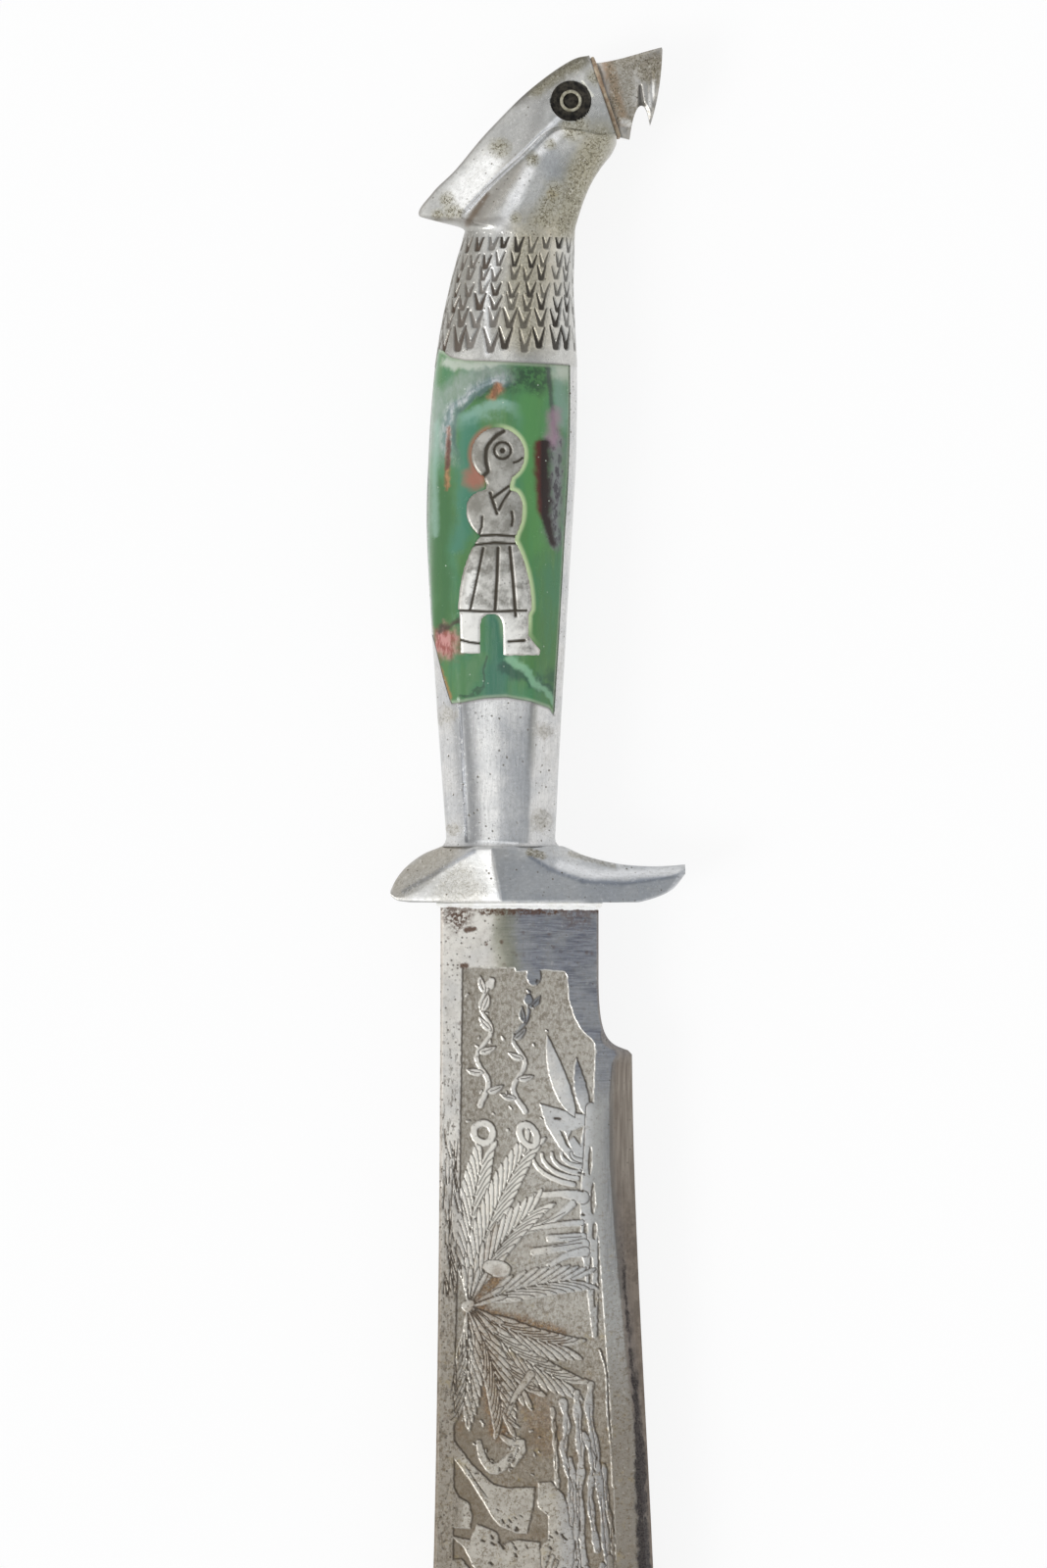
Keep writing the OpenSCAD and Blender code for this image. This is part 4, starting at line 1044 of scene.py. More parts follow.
def draw_leaves(etching):
    """Two long leaves, and the broad one below them with its gaps."""
    etching.patch([(3.2, -31.4), (7.6, -32.6), (10.8, -33.2), (11.6, -31.4), (11.6, -41.4), (8.6, -41.0),
                   (6.3, -38.2), (4.2, -34.8)])
    leaf(etching, (8.8, -33.6), (4.4, -20.6), 2.6, 0.5)
    leaf(etching, (10.9, -33.6), (9.0, -24.2), 2.0, 0.3)
    for gap in ([(7.5, -37.4), (8.2, -35.7), (10.2, -34.9), (9.6, -38.0), (8.6, -36.6)],
                [(6.4, -35.6), (7.1, -35.8), (8.2, -38.6), (7.4, -37.9)],
                [(10.7, -36.0), (11.3, -35.4), (11.2, -38.4), (10.6, -38.2)]):
        etching.hollow(gap)
    etching.cut([(5.6, -33.7), (6.4, -33.8)], 0.2)


def draw_trunk(etching):
    """Nested ribs, and the trunk beside the border with its twigs."""
    for k in range(5):
        angle = np.radians(np.linspace(176 + 2 * k, 266 - 2 * k, 12))
        arc = np.stack([10.2 + (2.0 + 1.55 * k) * np.cos(angle), -39.2 + (1.2 + 0.95 * k) * np.sin(angle)], 1)
        etching.stroke(arc, np.linspace(0.22, 0.42, 12))
    trunk = [(11.3, -32), (11.0, -40), (11.1, -47), (11.1, -54), (11.5, -60), (11.9, -68)]
    etching.stroke(trunk, [0.8, 0.9, 1.5, 1.3, 0.9, 0.4])
    for x, y, half_x, half_y in ((11.2, -40.4, 0.3, 2.2), (11.7, -46.3, 0.42, 2.5), (10.5, -51.2, 0.34, 0.9),
                                 (11.9, -51.5, 0.36, 1.4), (11.3, -58.2, 0.3, 2.6), (12.1, -61.6, 0.36, 2.0)):
        etching.hollow(oval(x, y, half_x, half_y, -0.04))
    for line, widths in (
        ([(2.3, -45.9), (6.6, -45.6), (10.0, -46.2)], [0.4, 0.5, 1.1]),
        ([(-6.2, -56.6), (-2.1, -53.0), (1.5, -51.3), (5.0, -50.0), (8.4, -47.2)],
         [0.5, 0.6, 0.55, 0.5, 0.6]),
        ([(1.5, -51.3), (5.2, -50.6), (9.8, -50.2)], [0.3, 0.35, 0.5]),
        ([(4.8, -52.7), (10.0, -52.5)], [0.55, 0.7]),
        ([(2.3, -54.8), (6.4, -54.2), (10.2, -53.6)], [0.55, 0.6, 0.9]),
        ([(4.8, -57.0), (7.4, -55.4), (10.4, -54.8)], [0.45, 0.5, 0.8]),
    ):
        shares = np.linspace(0, 1, len(widths))
        etching.stroke(along_curve(line, 9), np.interp(np.linspace(0, 1, 9), shares, widths))
    for x, y in ((9.4, -42.3), (9.2, -45.0), (9.4, -48.8), (8.8, -43.6)):
        etching.cut([(x, y), (x + 0.8, y - 0.2)], 0.18)
    for line in ([(3.4, -50.5), (7.2, -48.6)], [(5.4, -54.0), (9.8, -53.4)], [(6.4, -52.6), (9.8, -52.4)]):
        etching.cut(line, 0.06)


def draw_palm(etching, draw):
    """Palm star with its crown by the spine, tufts beside it, and two rings above it."""
    crown = np.array([-8.2, -63.4])
    star = ((84, 24, 0.8), (69, 27, 1.4), (55, 19, 1.2), (13, 18.4, 0.8), (-22, 17, -1.0), (-37, 20.5, -1.4),
            (-55, 16.5, -1.0), (-73, 19, 1.0), (-93, 17, 0.5))
    for angle, reach, sag in star:
        heading = heading_at(angle)
        frond(etching, crown + 1.0 * heading, crown + reach * heading, 6.6, sag)
    etching.patch(oval(-3.6, -57.4, 2.3, 1.3, -0.2))
    etching.stroke([crown, crown + (0.5, 0.4)], [0.9, 0.6])
    for _ in range(44):
        x = draw.uniform(-12.0, -9.4)
        y = draw.uniform(-60, -34)
        tall = draw.uniform(1.6, 5.0)
        etching.cut([(x, y), (x + draw.uniform(-0.1, 0.32) * tall, y - tall)], [0.05, 0.1])
    for _ in range(16):
        y = draw.uniform(-84, -66)
        x = draw.uniform(-10.6, -7.6)
        etching.cut([(x, y), (x + draw.uniform(-0.5, 0.9), y - draw.uniform(2.0, 5.0))], 0.08)
    for x, y, half_x, half_y in ((-5.7, -36.0, 1.5, 1.6), (1.4, -36.4, 1.2, 1.9)):
        ring = oval(x, y, half_x, half_y, 0.5)
        etching.stroke(np.vstack([ring, ring[:1]]), 0.5)


def draw_bank(etching, draw):
    """Curls, the bank, and rocks with dark ground between them."""
    curl = [(-6.4, -85.0), (-5.8, -87.4), (-4.2, -89.2), (-2.2, -88.2), (-0.9, -86.4), (-0.2, -84.4)]
    etching.stroke(along_curve(curl, 14), np.interp(np.linspace(0, 1, 14), [0, 0.5, 1], [0.4, 0.9, 0.3]))
    etching.stroke([(-2.8, -84.0), (-1.6, -84.9), (0.4, -85.0), (0.5, -86.3), (-0.9, -88.4)],
                   [0.3, 0.5, 0.5, 0.5, 0.4])
    etching.stroke(along_curve([(-1.9, -80.6), (-0.6, -77.6), (1.8, -74.2)], 9), np.linspace(0.3, 0.7, 9))
    etching.stroke([(-1.8, -81.4), (-0.2, -82.6)], [0.25, 0.15])
    rocks = (
        [(-10.6, -91.8), (-9.6, -93.6), (-8.0, -94.6), (-7.5, -96.6), (-7.8, -98.6), (-10.6, -98.4)],
        [(3.0, -91.4), (5.0, -91.2), (7.0, -93.4), (8.6, -97.6), (9.4, -103.0), (10.4, -112), (3.0, -114),
         (1.4, -104.0), (4.6, -100.2), (4.6, -96.6), (2.9, -95.2)],
        [(-10.8, -99.8), (-7.8, -100.4), (-6.6, -98.0), (-5.4, -98.4), (-3.6, -99.2), (-3.0, -101.2),
         (-0.4, -100.4), (3.2, -100.8), (3.6, -106), (1.0, -112), (-4.0, -111), (-5.6, -107), (-7.4, -104.4),
         (-8.8, -101.6)],
        [(-10.8, -103.6), (-9.2, -103.4), (-7.6, -105.4), (-6.4, -109.0), (-10.8, -110.0)],
    )
    etching.patch([(-10.6, -84.4), (-7.4, -88.6), (-4.2, -91.6), (-2.0, -92.2), (2.4, -92.1), (2.2, -95.0),
                   (1.2, -99.4), (-0.6, -99.2), (-3.0, -98.2), (-4.2, -97.0), (-5.6, -94.6), (-7.8, -91.0),
                   (-10.6, -87.2)])
    etching.cut([(-8.6, -88.6), (-6.6, -91.6), (-5.0, -93.8)], [0.05, 0.1, 0.04])
    for rock in rocks:
        etching.patch(rock)
    for _ in range(70):
        x = draw.uniform(-6.0, 9.0)
        y = draw.uniform(-112, -95.4)
        line = [(x, y), (x + draw.uniform(0.2, 0.6), y - draw.uniform(0.2, 0.5))]
        etching.cut(line, draw.uniform(0.08, 0.22))


def draw_water(etching, draw):
    """Falling water beside the edge, and the lone line outside it."""
    falls = (
        ([(5.2, -79.6), (5.6, -85), (6.0, -92)], 0.3),
        ([(6.9, -78.6), (7.5, -82.6), (6.9, -86.4), (8.0, -90.4), (8.3, -98)], 0.5),
        ([(9.0, -77.2), (9.3, -82), (9.8, -88), (9.5, -94), (10.2, -104)], 0.55),
        ([(11.3, -75.8), (11.0, -80), (12.0, -86), (12.8, -92), (13.6, -100), (14.2, -106)], 0.55),
        ([(10.2, -83.6), (11.6, -88), (11.2, -94), (12.3, -102)], 0.45),
        ([(8.0, -87.6), (9.0, -94), (9.0, -101), (9.8, -108)], 0.42),
        ([(13.4, -88.6), (13.8, -94), (14.6, -99), (14.9, -106)], 0.3),
    )
    for line, half in falls:
        line = along_curve(line, 18)
        etching.stroke(line, half * (1 + 0.35 * np.sin(np.arange(18) * 1.7 + half * 40)))
        etching.cut(line[3:9] + (0.1, 0), 0.05)
        etching.cut(line[11:16] - (0.1, 0), 0.06)
    etching.stroke(along_curve([(12.7, -70.4), (13.7, -74), (13.9, -80), (14.5, -86), (14.8, -92)], 14), 0.14)
    for k in range(7):
        sway = draw.uniform(0, 6.28)
        y = np.linspace(-103 - draw.uniform(0, 3), -148, 50)
        middle = 4.6 + 1.6 * k + 0.5 * np.sin(y / 2.4 + sway) + 0.3 * np.sin(y / 0.9 + 2 * sway)
        etching.stroke(np.stack([middle, y], 1), 0.42 + 0.16 * np.sin(y / 1.7 + sway))


def draw_lower_palm(etching):
    """Second palm lower on the blade, on a bank of its own."""
    etching.patch(np.vstack([curved((-10.8, -146), (2.5, -146.6), 2.6), [(2.5, -150.4), (-10.8, -149.2)]]))
    lower = np.array([-5.6, -128.0])
    for angle, length in zip(range(-80, 261, 38), (12, 13, 12, 11, 11, 8, 5, 5, 9)):
        heading = heading_at(angle)
        reach = min(length, 8.6 if angle < 10 else 13)
        frond(etching, lower + 0.6 * heading, lower + reach * heading, 3.8, 0.7)


def draw_dots(etching, draw):
    """Raised dots scattered over the ground."""
    for k in range(60):
        x = draw.uniform(-9.4, 4.2)
        y = draw.uniform(-91, -72) if k % 3 else draw.uniform(-36, -12)
        etching.stroke([(x, y), (x + draw.uniform(-0.4, 0.4), y + draw.uniform(-0.4, 0.4) + 0.05)],
                       [draw.uniform(0.05, 0.2), 0.08])


def draw_motifs(etching, side):
    """The etched picture: sprigs, leaves, a trunk, a palm star, a bank with rocks, and falling water."""
    draw = np.random.default_rng(17 + side)
    etching.patch(oval(2.25, -11.1, 1.15, 1.6))
    sprig(etching, [(-6.2, -31.6), (-4.9, -28), (-6.8, -24), (-4.4, -19.8), (-6.2, -16), (-4.6, -12.4)], 2.6)
    sprig(etching, [(0.9, -32.6), (-1.0, -29.0), (0.9, -25), (-1.0, -21.2), (1.2, -18), (1.4, -15.0)], 2.4,
          -1)
    draw_leaves(etching)
    draw_trunk(etching)
    draw_palm(etching, draw)
    draw_bank(etching, draw)
    draw_water(etching, draw)
    draw_lower_palm(etching)
    draw_dots(etching, draw)


# Width of the ground bevel at some distances from the guard
bevel_places = [ricasso_end, 25, 30, 41, 55.5, 74, 87, 104, 140, 205]
bevel_widths = [0.4, 3.1, 3.6, 3.8, 3.2, 2.4, 1.4, 1.1, 1.6, 2.0]


def blade_grid(heights, columns):
    """Points over a face of the blade, by rows: spine bevel, margin, panel, margin, edge bevel."""
    y = np.asarray(heights)
    left = line_x(spine_side, y)
    right = line_x(edge_side, y)
    on_clip = eased(-y, -clip_y - 3, -clip_y + 5)
    on_edge = eased(-y, ricasso_end, ricasso_end + 6)
    narrow = np.clip((right - left) / 14, 0.02, 1)
    left_w = mixed(0.45, 4.0, on_clip) * narrow
    right_w = np.interp(-y, bevel_places, bevel_widths) * narrow
    left_t = mixed(1.5, 0.7, on_clip)
    right_t = mixed(1.45, 0.15, on_edge)
    flat_left = left + left_w
    flat_right = right - right_w
    panel_left = mixed(flat_left, np.interp(-y, [10, 45, 100, 146], [-9.3, -9.5, -10.5, -9.8]), 1 - on_clip)
    panel_left = np.maximum(panel_left, flat_left)
    panel_right = np.interp(-y, [10, 24, 40, 60, 80, 100, 140], [11.2, 12.1, 12.3, 13.4, 14.8, 15.5, 16.2])
    panel_right = np.minimum(panel_right, flat_right)
    panel_left = np.minimum(panel_left, mixed(flat_left, flat_right, 0.3))
    panel_right = np.maximum(panel_right, mixed(flat_left, flat_right, 0.7))
    spans = [xyz(left, y, 0)]
    for share in (0, 0.3, 0.65):
        spans.append(xyz(left + share * left_w, y, mixed(left_t, blade_half_t, share)))
    stretches = ((flat_left, panel_left, columns // 9), (panel_left, panel_right, columns),
                 (panel_right, flat_right, columns // 16))
    for start, end, count in stretches:
        for k in range(count):
            spans.append(xyz(mixed(start, end, k / count), y, blade_half_t))
    spans.append(xyz(flat_right, y, blade_half_t))
    for share in (0.75, 0.5, 0.25, 0):
        spans.append(xyz(right - share * right_w, y, mixed(right_t, blade_half_t, share)))
    spans.append(xyz(right, y, 0))
    return np.stack(spans, 1), flat_left[:, None], flat_right[:, None], on_edge[:, None]


def etched_half(name, side, heights, columns):
    """Part of one face of the blade, down to the middle plane, with the etched picture in relief."""
    points, flat_left, flat_right, on_edge = blade_grid(heights, columns)
    x = points[:, :, 0]
    rows_y = points[:, :, 1]
    etching = Etching(x, rows_y)
    draw_motifs(etching, side)
    inside = outline_distance(x, rows_y, panel) + 0.06 * waves(points * [1, 1, 0], 0.9, 21)
    away = np.minimum(etching.raised + 0.05 * waves(points * [1, 1, 0], 0.8, 22), -inside)
    on_flat = np.zeros(x.shape)
    on_flat[:, 4:-5] = 1
    low = eased(away, -0.04, 0.13) * on_flat
    line_cut = eased(-etching.cuts, -0.07, 0.04) * (1 - low) * on_flat
    # Painted shade on the outlines' side away from the lamp, over dark outlines and fine cut lines, and
    # painted highlights on their side towards it
    steep_y = np.gradient(low, axis=0) / np.gradient(rows_y, axis=0)
    steep_x = np.gradient(low, axis=1) / np.maximum(np.gradient(x, axis=1), 0.02)
    from_lamp = (steep_x + 0.8 * steep_y) / (np.hypot(steep_x, steep_y) + 0.3)
    grime = bell(away - 0.05, 0.15) * (0.3 + 0.7 * eased(from_lamp, -0.2, 0.8)) * on_flat
    grime = np.maximum(grime, line_cut)
    lit = bell(away, 0.1) * eased(-from_lamp, 0.0, 0.8) * on_flat
    points[:, :, 2] -= relief_depth * low + cut_depth * line_cut
    points[:, :, 2] += (0.012 * waves(points, 13, 5) + 0.012 * low * waves(points, 0.7, 6)) * on_flat
    from_bevel = x - flat_right
    to_flat = np.minimum(x - flat_left, -from_bevel)
    bevel = eased(from_bevel, -0.25, 0.15) * on_edge
    bevel = np.maximum(bevel, eased(-to_flat, 0.0, 0.2) * 0.5)
    line_width = np.interp(-rows_y, [38, 60, 90, 110], [0.5, 0.66, 0.9, 1.1])
    off_line = from_bevel - np.interp(-rows_y, [45, 60, 75, 85, 95, 105], [0.5, 0.7, 0.8, 0.3, -0.2, -0.3])
    line = bell(off_line, line_width) * np.interp(-rows_y, [28, 40, 55, 80], [0, 0.45, 0.8, 1])
    points[:, :, 2] *= side
    rows, cols = x.shape
    faces = skin_quads(rows, cols).reshape(-1, 4).tolist()
    for i in range(rows - 1):
        a = i * cols
        faces.append([a, a + cols, a + 2 * cols - 1, a + cols - 1])
    faces.append(list(range(cols)))
    faces.append(list(range((rows - 1) * cols, rows * cols))[::-1])
    marks = {"ground": low, "grime": grime, "grind": np.clip(line, 0, 1), "bevel": bevel, "lit": lit}
    make_piece(name, points, faces, blade_paint, ["blade"], marks, 30)


coarser = 1
panel_columns = 165 // coarser
last_row = 0.15 - blade_length
upper_rows = np.concatenate([[0], np.arange(-0.14, -10, -0.28 * coarser), [-10.07],
                             np.arange(-10.2, -66, -0.14 * coarser), [-66]])
lower_rows = np.concatenate([np.arange(-66, -106.5, -0.14 * coarser),
                             np.arange(-106.5, 0.2 - blade_length, -0.56 * coarser), [last_row]])
back_rows = np.concatenate([np.arange(0, 0.2 - blade_length, -0.32 * coarser), [last_row]])
etched_half("blade_front_upper", 1, upper_rows, panel_columns)
etched_half("blade_front_lower", 1, lower_rows, panel_columns)
etched_half("blade_back_half", -1, back_rows, panel_columns // 2)

# Tang: a plain tapering bar with broken corners, hidden in the hilt
tang_corners = np.array([(-1, -0.8), (-0.95, -1), (0.95, -1), (1, -0.8),
                         (1, 0.8), (0.95, 1), (-0.95, 1), (-1, 0.8)])
tang_y = np.linspace(-1, 97, 30)[:, None]
tang_half_w = mixed(5.5, 3.25, (tang_y + 1) / 98)
tang_rows = xyz(tang_x + tang_corners[:, 0] * tang_half_w, tang_y, tang_corners[:, 1] * tang_half_t)
make_piece("blade_tang", tang_rows, capped_faces(30, 8), blade_paint, ["blade"])

# Guard
# Across the guard: x, then height of its foot, ridge and top, and the share of thickness left at its top
guard_keys = [
    (-short_reach, 1.7, 1.9, 2.3, 0.5),
    (-19.5, 0.9, 1.4, 4.2, 0.5),
    (-18.0, 0.6, 1.6, 6.1, 0.5),
    (-15.5, 0.3, 2.8, 8.0, 0.55),
    (-13.0, -0.1, 4.9, 9.1, 0.65),
    (-11.6, -0.2, 6.3, 9.6, 0.75),
    (collar_x - 3.8, -0.4, 8.8, 9.8, 0.92),
    (collar_x + 4.2, -0.4, 8.2, 9.8, 0.92),
    (5.2, -0.4, 5.6, 9.8, 0.75),
    (7.3, -0.4, 4.7, 9.2, 0.6),
    (10.5, -0.3, 3.8, 7.8, 0.5),
    (15.5, 0, 3.4, 6.6, 0.5),
    (20.4, 0.9, 3.8, 6.2, 0.5),
    (24.1, 2.5, 4.7, 6.3, 0.5),
    (long_reach, 5.0, 5.8, 6.5, 0.5),
]


def guard_thickness(x, y):
    """Half thickness: greatest at the front ridge, which leans a little."""
    ridge = collar_x - 0.5 + 0.19 * (4.4 - y)
    towards_short = mixed(4.6, guard_half_t, (x + short_reach) / (ridge + short_reach))
    towards_long = mixed(2.6, guard_half_t, (long_reach - x) / (long_reach - ridge))
    return np.minimum(towards_short, towards_long)


def build_guard():
    """Lofted along the quillons, with seven steps between each two of six heights, then rounded a little."""
    x = np.concatenate([np.linspace(-short_reach, collar_x - 2.5, 60)[:-1],
                        np.linspace(collar_x - 2.5, collar_x + 2.5, 60)[:-1],
                        np.linspace(collar_x + 2.5, long_reach, 100)])
    foot, ridge, top, share = along(guard_keys, x)
    heights = [foot, mixed(foot, ridge, 0.15), ridge, mixed(ridge, top, 0.18), mixed(ridge, top, 0.86), top]
    shares = [0 * x + 0.9, 0 * x + 0.99, 0 * x + 1, mixed(1, share, 0.14), mixed(1, share, 0.94),
              0.84 * share]
    side_y = []
    side_s = []
    for a in range(5):
        for k in range(7):
            side_y.append(mixed(heights[a], heights[a + 1], k / 7))
            side_s.append(mixed(shares[a], shares[a + 1], k / 7))
    side_y = np.stack([*side_y, heights[5]], 1)
    side_s = np.stack([*side_s, shares[5]], 1)
    wide = x[:, None]
    thick = side_s * guard_thickness(wide, side_y)
    front = xyz(wide, side_y, thick)
    across = np.linspace(1, -1, 12)[1:-1]
    over_top = xyz(wide, side_y[:, -1:], thick[:, -1:] * across)
    back = front[:, ::-1] * [1, 1, -1]
    under = xyz(wide, side_y[:, :1], thick[:, :1] * across[::-1])
    ring = np.concatenate([front, over_top, back, under], 1)
    ring = softened(ring, 3)
    ring[:, :, 2] *= guard_half_t / np.abs(ring[:, :, 2]).max()
    ring[:, :, 1] = np.clip(ring[:, :, 1], guard_foot, guard_top)
    normal = normals_of(ring, True)
    off_ridge = eased(guard_half_t - np.abs(ring[:, :, 2:]), 0, 0.6)
    ring = ring + normal * (0.05 * waves(ring, 11, 3))[..., None] * off_ridge
    ring[:, :, 1] = np.clip(ring[:, :, 1], guard_foot, guard_top)
    near_collar = np.abs(np.hypot((ring[:, :, 0] - collar_x) / 8.7, ring[:, :, 2] / 7.6) - 1)
    dirt = (1 - eased(near_collar, 0.0, 0.09)) * eased(ring[:, :, 1], 8.6, 9.3) * 0.7
    make_piece("horned_guard", ring, capped_faces(*ring.shape[:2]), guard_paint, ["guard"],
               {"dirt": dirt}, 50)


build_guard()


def build_solder():
    """Bead of solder round the blade's shoulders: a lumpy ring that fills the seat."""
    ends = resampled([(-solder_half_w, -solder_half_t), (solder_half_w, -solder_half_t),
                      (solder_half_w, solder_half_t), (-solder_half_w, solder_half_t)], 0.25)
    rows = []
    for height, out in ((0, -0.5), (-0.24, -0.42), (0, 0.1), (0.3, 0.18), (0.46, 0.08), (solder_height, 0)):
        ring = xyz(ends[:, 0], height, ends[:, 1])
        ring[:, 1] += (height < 0) * 0.16 * waves(ring, 0.7, 9)
        ring[:, 0] += out * np.sign(ring[:, 0]) * (np.abs(ring[:, 0]) > solder_half_w - 0.1)
        ring[:, 2] += out * np.sign(ring[:, 2])
        ring[:, 2] += 0.05 * waves(ring, 1.7, 4)
        rows.append(ring)
    faces = capped_faces(len(rows), len(ends))
    make_piece("solder_bead", np.array(rows), faces, solder_paint, ["root_solder"])


build_solder()

# Hilt: height, centre, width, half thickness, crispness of its rounded octagon
hilt_keys = [
    (guard_top, -3, 17.1, 7.4, 40),
    (collar_top, -3.2, 19.8, 8.18, 34),
    (56.364, -3.2, 22.7175, 8.7, 8),
    (71.316, -2.7, 23.3, 8.613, 7),
    (neck_foot, -2.1, 22.4, 8.2, 6),
    (97.08, -1.3, 19.8, 7.72, 5),
    (neck_top, 0.2, 17.2, 7, 4),
]


def octagon(across, up, crisp):
    """Reach of a rounded octagon in a direction; the crisper, the sharper its corners."""
    a = np.abs(across)
    b = np.abs(up)
    corner = 1.6 - 0.07 * across
    total = a**crisp + b**crisp + ((a + b) / corner) ** crisp + (np.abs(a - b) / corner) ** crisp
    return total ** (-1 / crisp)


def hilt_skin(turn, y):
    """A point of the hilt's outside: turn 0 is the edge side, a quarter turn the shown face."""
    turn, y = np.broadcast_arrays(turn, y)
    centre, width, half_t, crisp = along(hilt_keys, y)
    radius = octagon(np.cos(turn), np.sin(turn), crisp) / octagon(1, 0, crisp)
    return xyz(centre + width / 2 * radius * np.cos(turn), y, half_t * radius * np.sin(turn))


def turns_where(heights, axis, value):
    """At each height, the turn where the skin's x or z has a value: x on its way left, z near the spine."""
    sweep = np.linspace(0, np.pi, 721)
    if axis == 2:
        sweep = sweep[361:]
    found = []
    for height, want in zip(heights, value):
        line = hilt_skin(sweep, height)[:, axis]
        found.append(np.interp(-want, -line, sweep))
    return np.array(found)


# Above even_from the hilt's columns begin to spread evenly, and at even_at they have
even_from = 88
even_at = 92
table_y = np.linspace(guard_top, even_at, 90)
hilt_centre, hilt_width = along(hilt_keys, table_y)[:2]
wall_turns = turns_where(table_y, 0, hilt_centre + hilt_width / 2 - wall_w)
fin_turns = turns_where(table_y, 2, np.full(len(table_y), fin_half_t))


def column_turn(column, y):
    """Turn of a column: 0 to 1 crosses the edge strip, 1 to 2 the inlay, 2 to 3 the spine fin."""
    wall = np.interp(y, table_y, wall_turns)
    fin = np.interp(y, table_y, fin_turns)
    return (wall * np.clip(column, 0, 1) + (fin - wall) * np.clip(column - 1, 0, 1)
            + (np.pi - fin) * np.clip(column - 2, 0, 1))


# x and y along the inlay's foot and top
inlay_foot = [(-14.1, 43.8), (-12.1, 35.8), (-10.9, 31.9), (-8.9, 32.1), (-5.7, 32.7), (-2.2, 32.9),
              (1.8, 32.2), (4.8, 31.2), (5.6, 30.0)]
inlay_top = [(-14.3, 89.2), (-10.9, 86.6), (-8.7, 86.1), (-2.1, 85.8), (7.5, 85.4)]


def inlay_edge(columns, line, guess):
    """Height of the inlay's foot or top at each column."""
    inside = np.clip(columns, 1, 2)
    y = np.full(len(columns), float(guess))
    line = np.array(line)
    for _ in range(30):
        x = hilt_skin(column_turn(inside, y), y)[:, 0]
        y = mixed(y, np.interp(x, line[:, 0], line[:, 1]), 0.5)
    return y


def ring_columns(strip, inlay, fin):
    """Column places once round the hilt, the shown face first, and the side of each."""
    front = np.concatenate([np.linspace(0, 1, strip + 1)[:-1], np.linspace(1, 2, inlay + 1)[:-1],
                            np.linspace(2, 3, fin + 1)])
    back = front[1:-1][::-1]
    return np.concatenate([front, back]), np.concatenate([np.ones(len(front)), -np.ones(len(back))])


# Swell across the collar's shown facet, summed from its slopes
crown_steps = np.linspace(-11, 5, 160)
crown_slope = np.interp(crown_steps, [-11, -8.5, -8.0, -3.4, -3.0, 3.0, 5.0],
                        [0.12, 0.105, 0.05, 0.012, -0.03, -0.12, -0.14])
crown_line = np.cumsum(crown_slope) * (crown_steps[1] - crown_steps[0])


def crown_rise(x, y):
    """The collar's shown facet swells a little, so that light and grey bands run up it."""
    narrow = mixed(0.62, 1.0, eased(y, 10, 28))
    place = -3.3 + (x + 3.3) / narrow
    return (np.interp(place, crown_steps, crown_line) - crown_line.max()) * narrow + 0.22


def build_frame():
    """Collar with the strip and the fin that hold the inlays, as one cast shell."""
    columns, side = ring_columns(12, 70, 5)
    foot = inlay_edge(columns, inlay_foot, 34)
    low = np.linspace(0, 1, 56)[:, None]
    high = np.linspace(0, 1, 90)[1:, None]
    heights = np.concatenate([mixed(guard_top, foot, low), mixed(foot, neck_foot + 0 * foot, high)])
    points = hilt_skin(side * column_turn(columns, heights), heights)
    normal = normals_of(points, True)
    crown = crown_rise(points[:, :, 0], heights) * (1 - 0.6 * eased(heights, 27, 32))
    crown = crown * (heights < foot + 0.01) * eased(np.abs(points[:, :, 2]), 3, 6)
    flare = 0.75 * np.clip(1 - (heights - guard_top) / 1.5, 0, 1) ** 2.5
    points = points + normal * (crown + flare + 0.035 * waves(points, 12, 8))[..., None]
    rows, cols = heights.shape
    quads = skin_quads(rows, cols, True)
    middle = (columns + np.roll(columns, -1)) / 2
    window = (middle > 1) & (middle < 2)
    collar_rows = len(low)
    keep = np.ones(quads.shape[:2], bool)
    keep[collar_rows - 1:, window] = False
    faces = shell_faces(quads[keep], rows * cols)
    near_inlay = np.where(window[None, :] & (np.arange(rows) < collar_rows)[:, None], foot - heights, 9)
    dirt = 0.55 * (1 - eased(near_inlay, 0.05, 0.35)) + 0.3 * (1 - eased(heights - guard_top, 0.0, 0.25))
    make_piece("hilt_frame", both_sides(points, normal, shell_wall), faces, collar_paint, ["grip_frame"],
               {"dirt": np.tile(dirt.ravel(), 2)}, 45)


build_frame()


def figure_outline():
    """Outline of the cast figure, drawn from its foot and set in its place on the hilt."""
    turns = np.radians(298 - 296 * np.arange(41) / 40 - 60)
    head = np.stack([-0.1 + 4.3 * np.cos(turns), 31.7 + 4.3 * np.sin(turns)], 1)
    right = np.vstack([[(1.95, 26.9), (2, 26.2)], bend((3, 25.8), (4.1, 24.6), (4.4, 22), (3, 19.3), 12),
                       bend((2.7, 18.1), (4.1, 15.6), (5.5, 11), (5.3, 7.3), 12)])
    shoe = [(4.8, 6.4), (4.8, 3.2), (5.7, 2), (6.7, 0.9), (6.5, 0), (0.7, -0.1)]
    legs = np.vstack([[(0.5, 5)], bend((0.2, 5.8), (-0.5, 6.7), (-1.9, 6.7), (-2.6, 5.7), 8),
                      [(-2.8, 4.9), (-2.8, 0.2), (-6.1, 0.2), (-6.3, 6.3)]])
    left = np.vstack([bend((-6.5, 7.3), (-6.4, 11), (-5.2, 15.4), (-3.9, 17.6), 12), [(-3.1, 18.7)],
                      bend((-4.2, 19.9), (-5.7, 22), (-5.8, 25), (-3.2, 25.9), 12),
                      [(-2.1, 26.2), (-1.9, 26.9)]])
    return np.vstack([head, right, shoe, legs, left]) + figure_at


figure_edge = figure_outline()


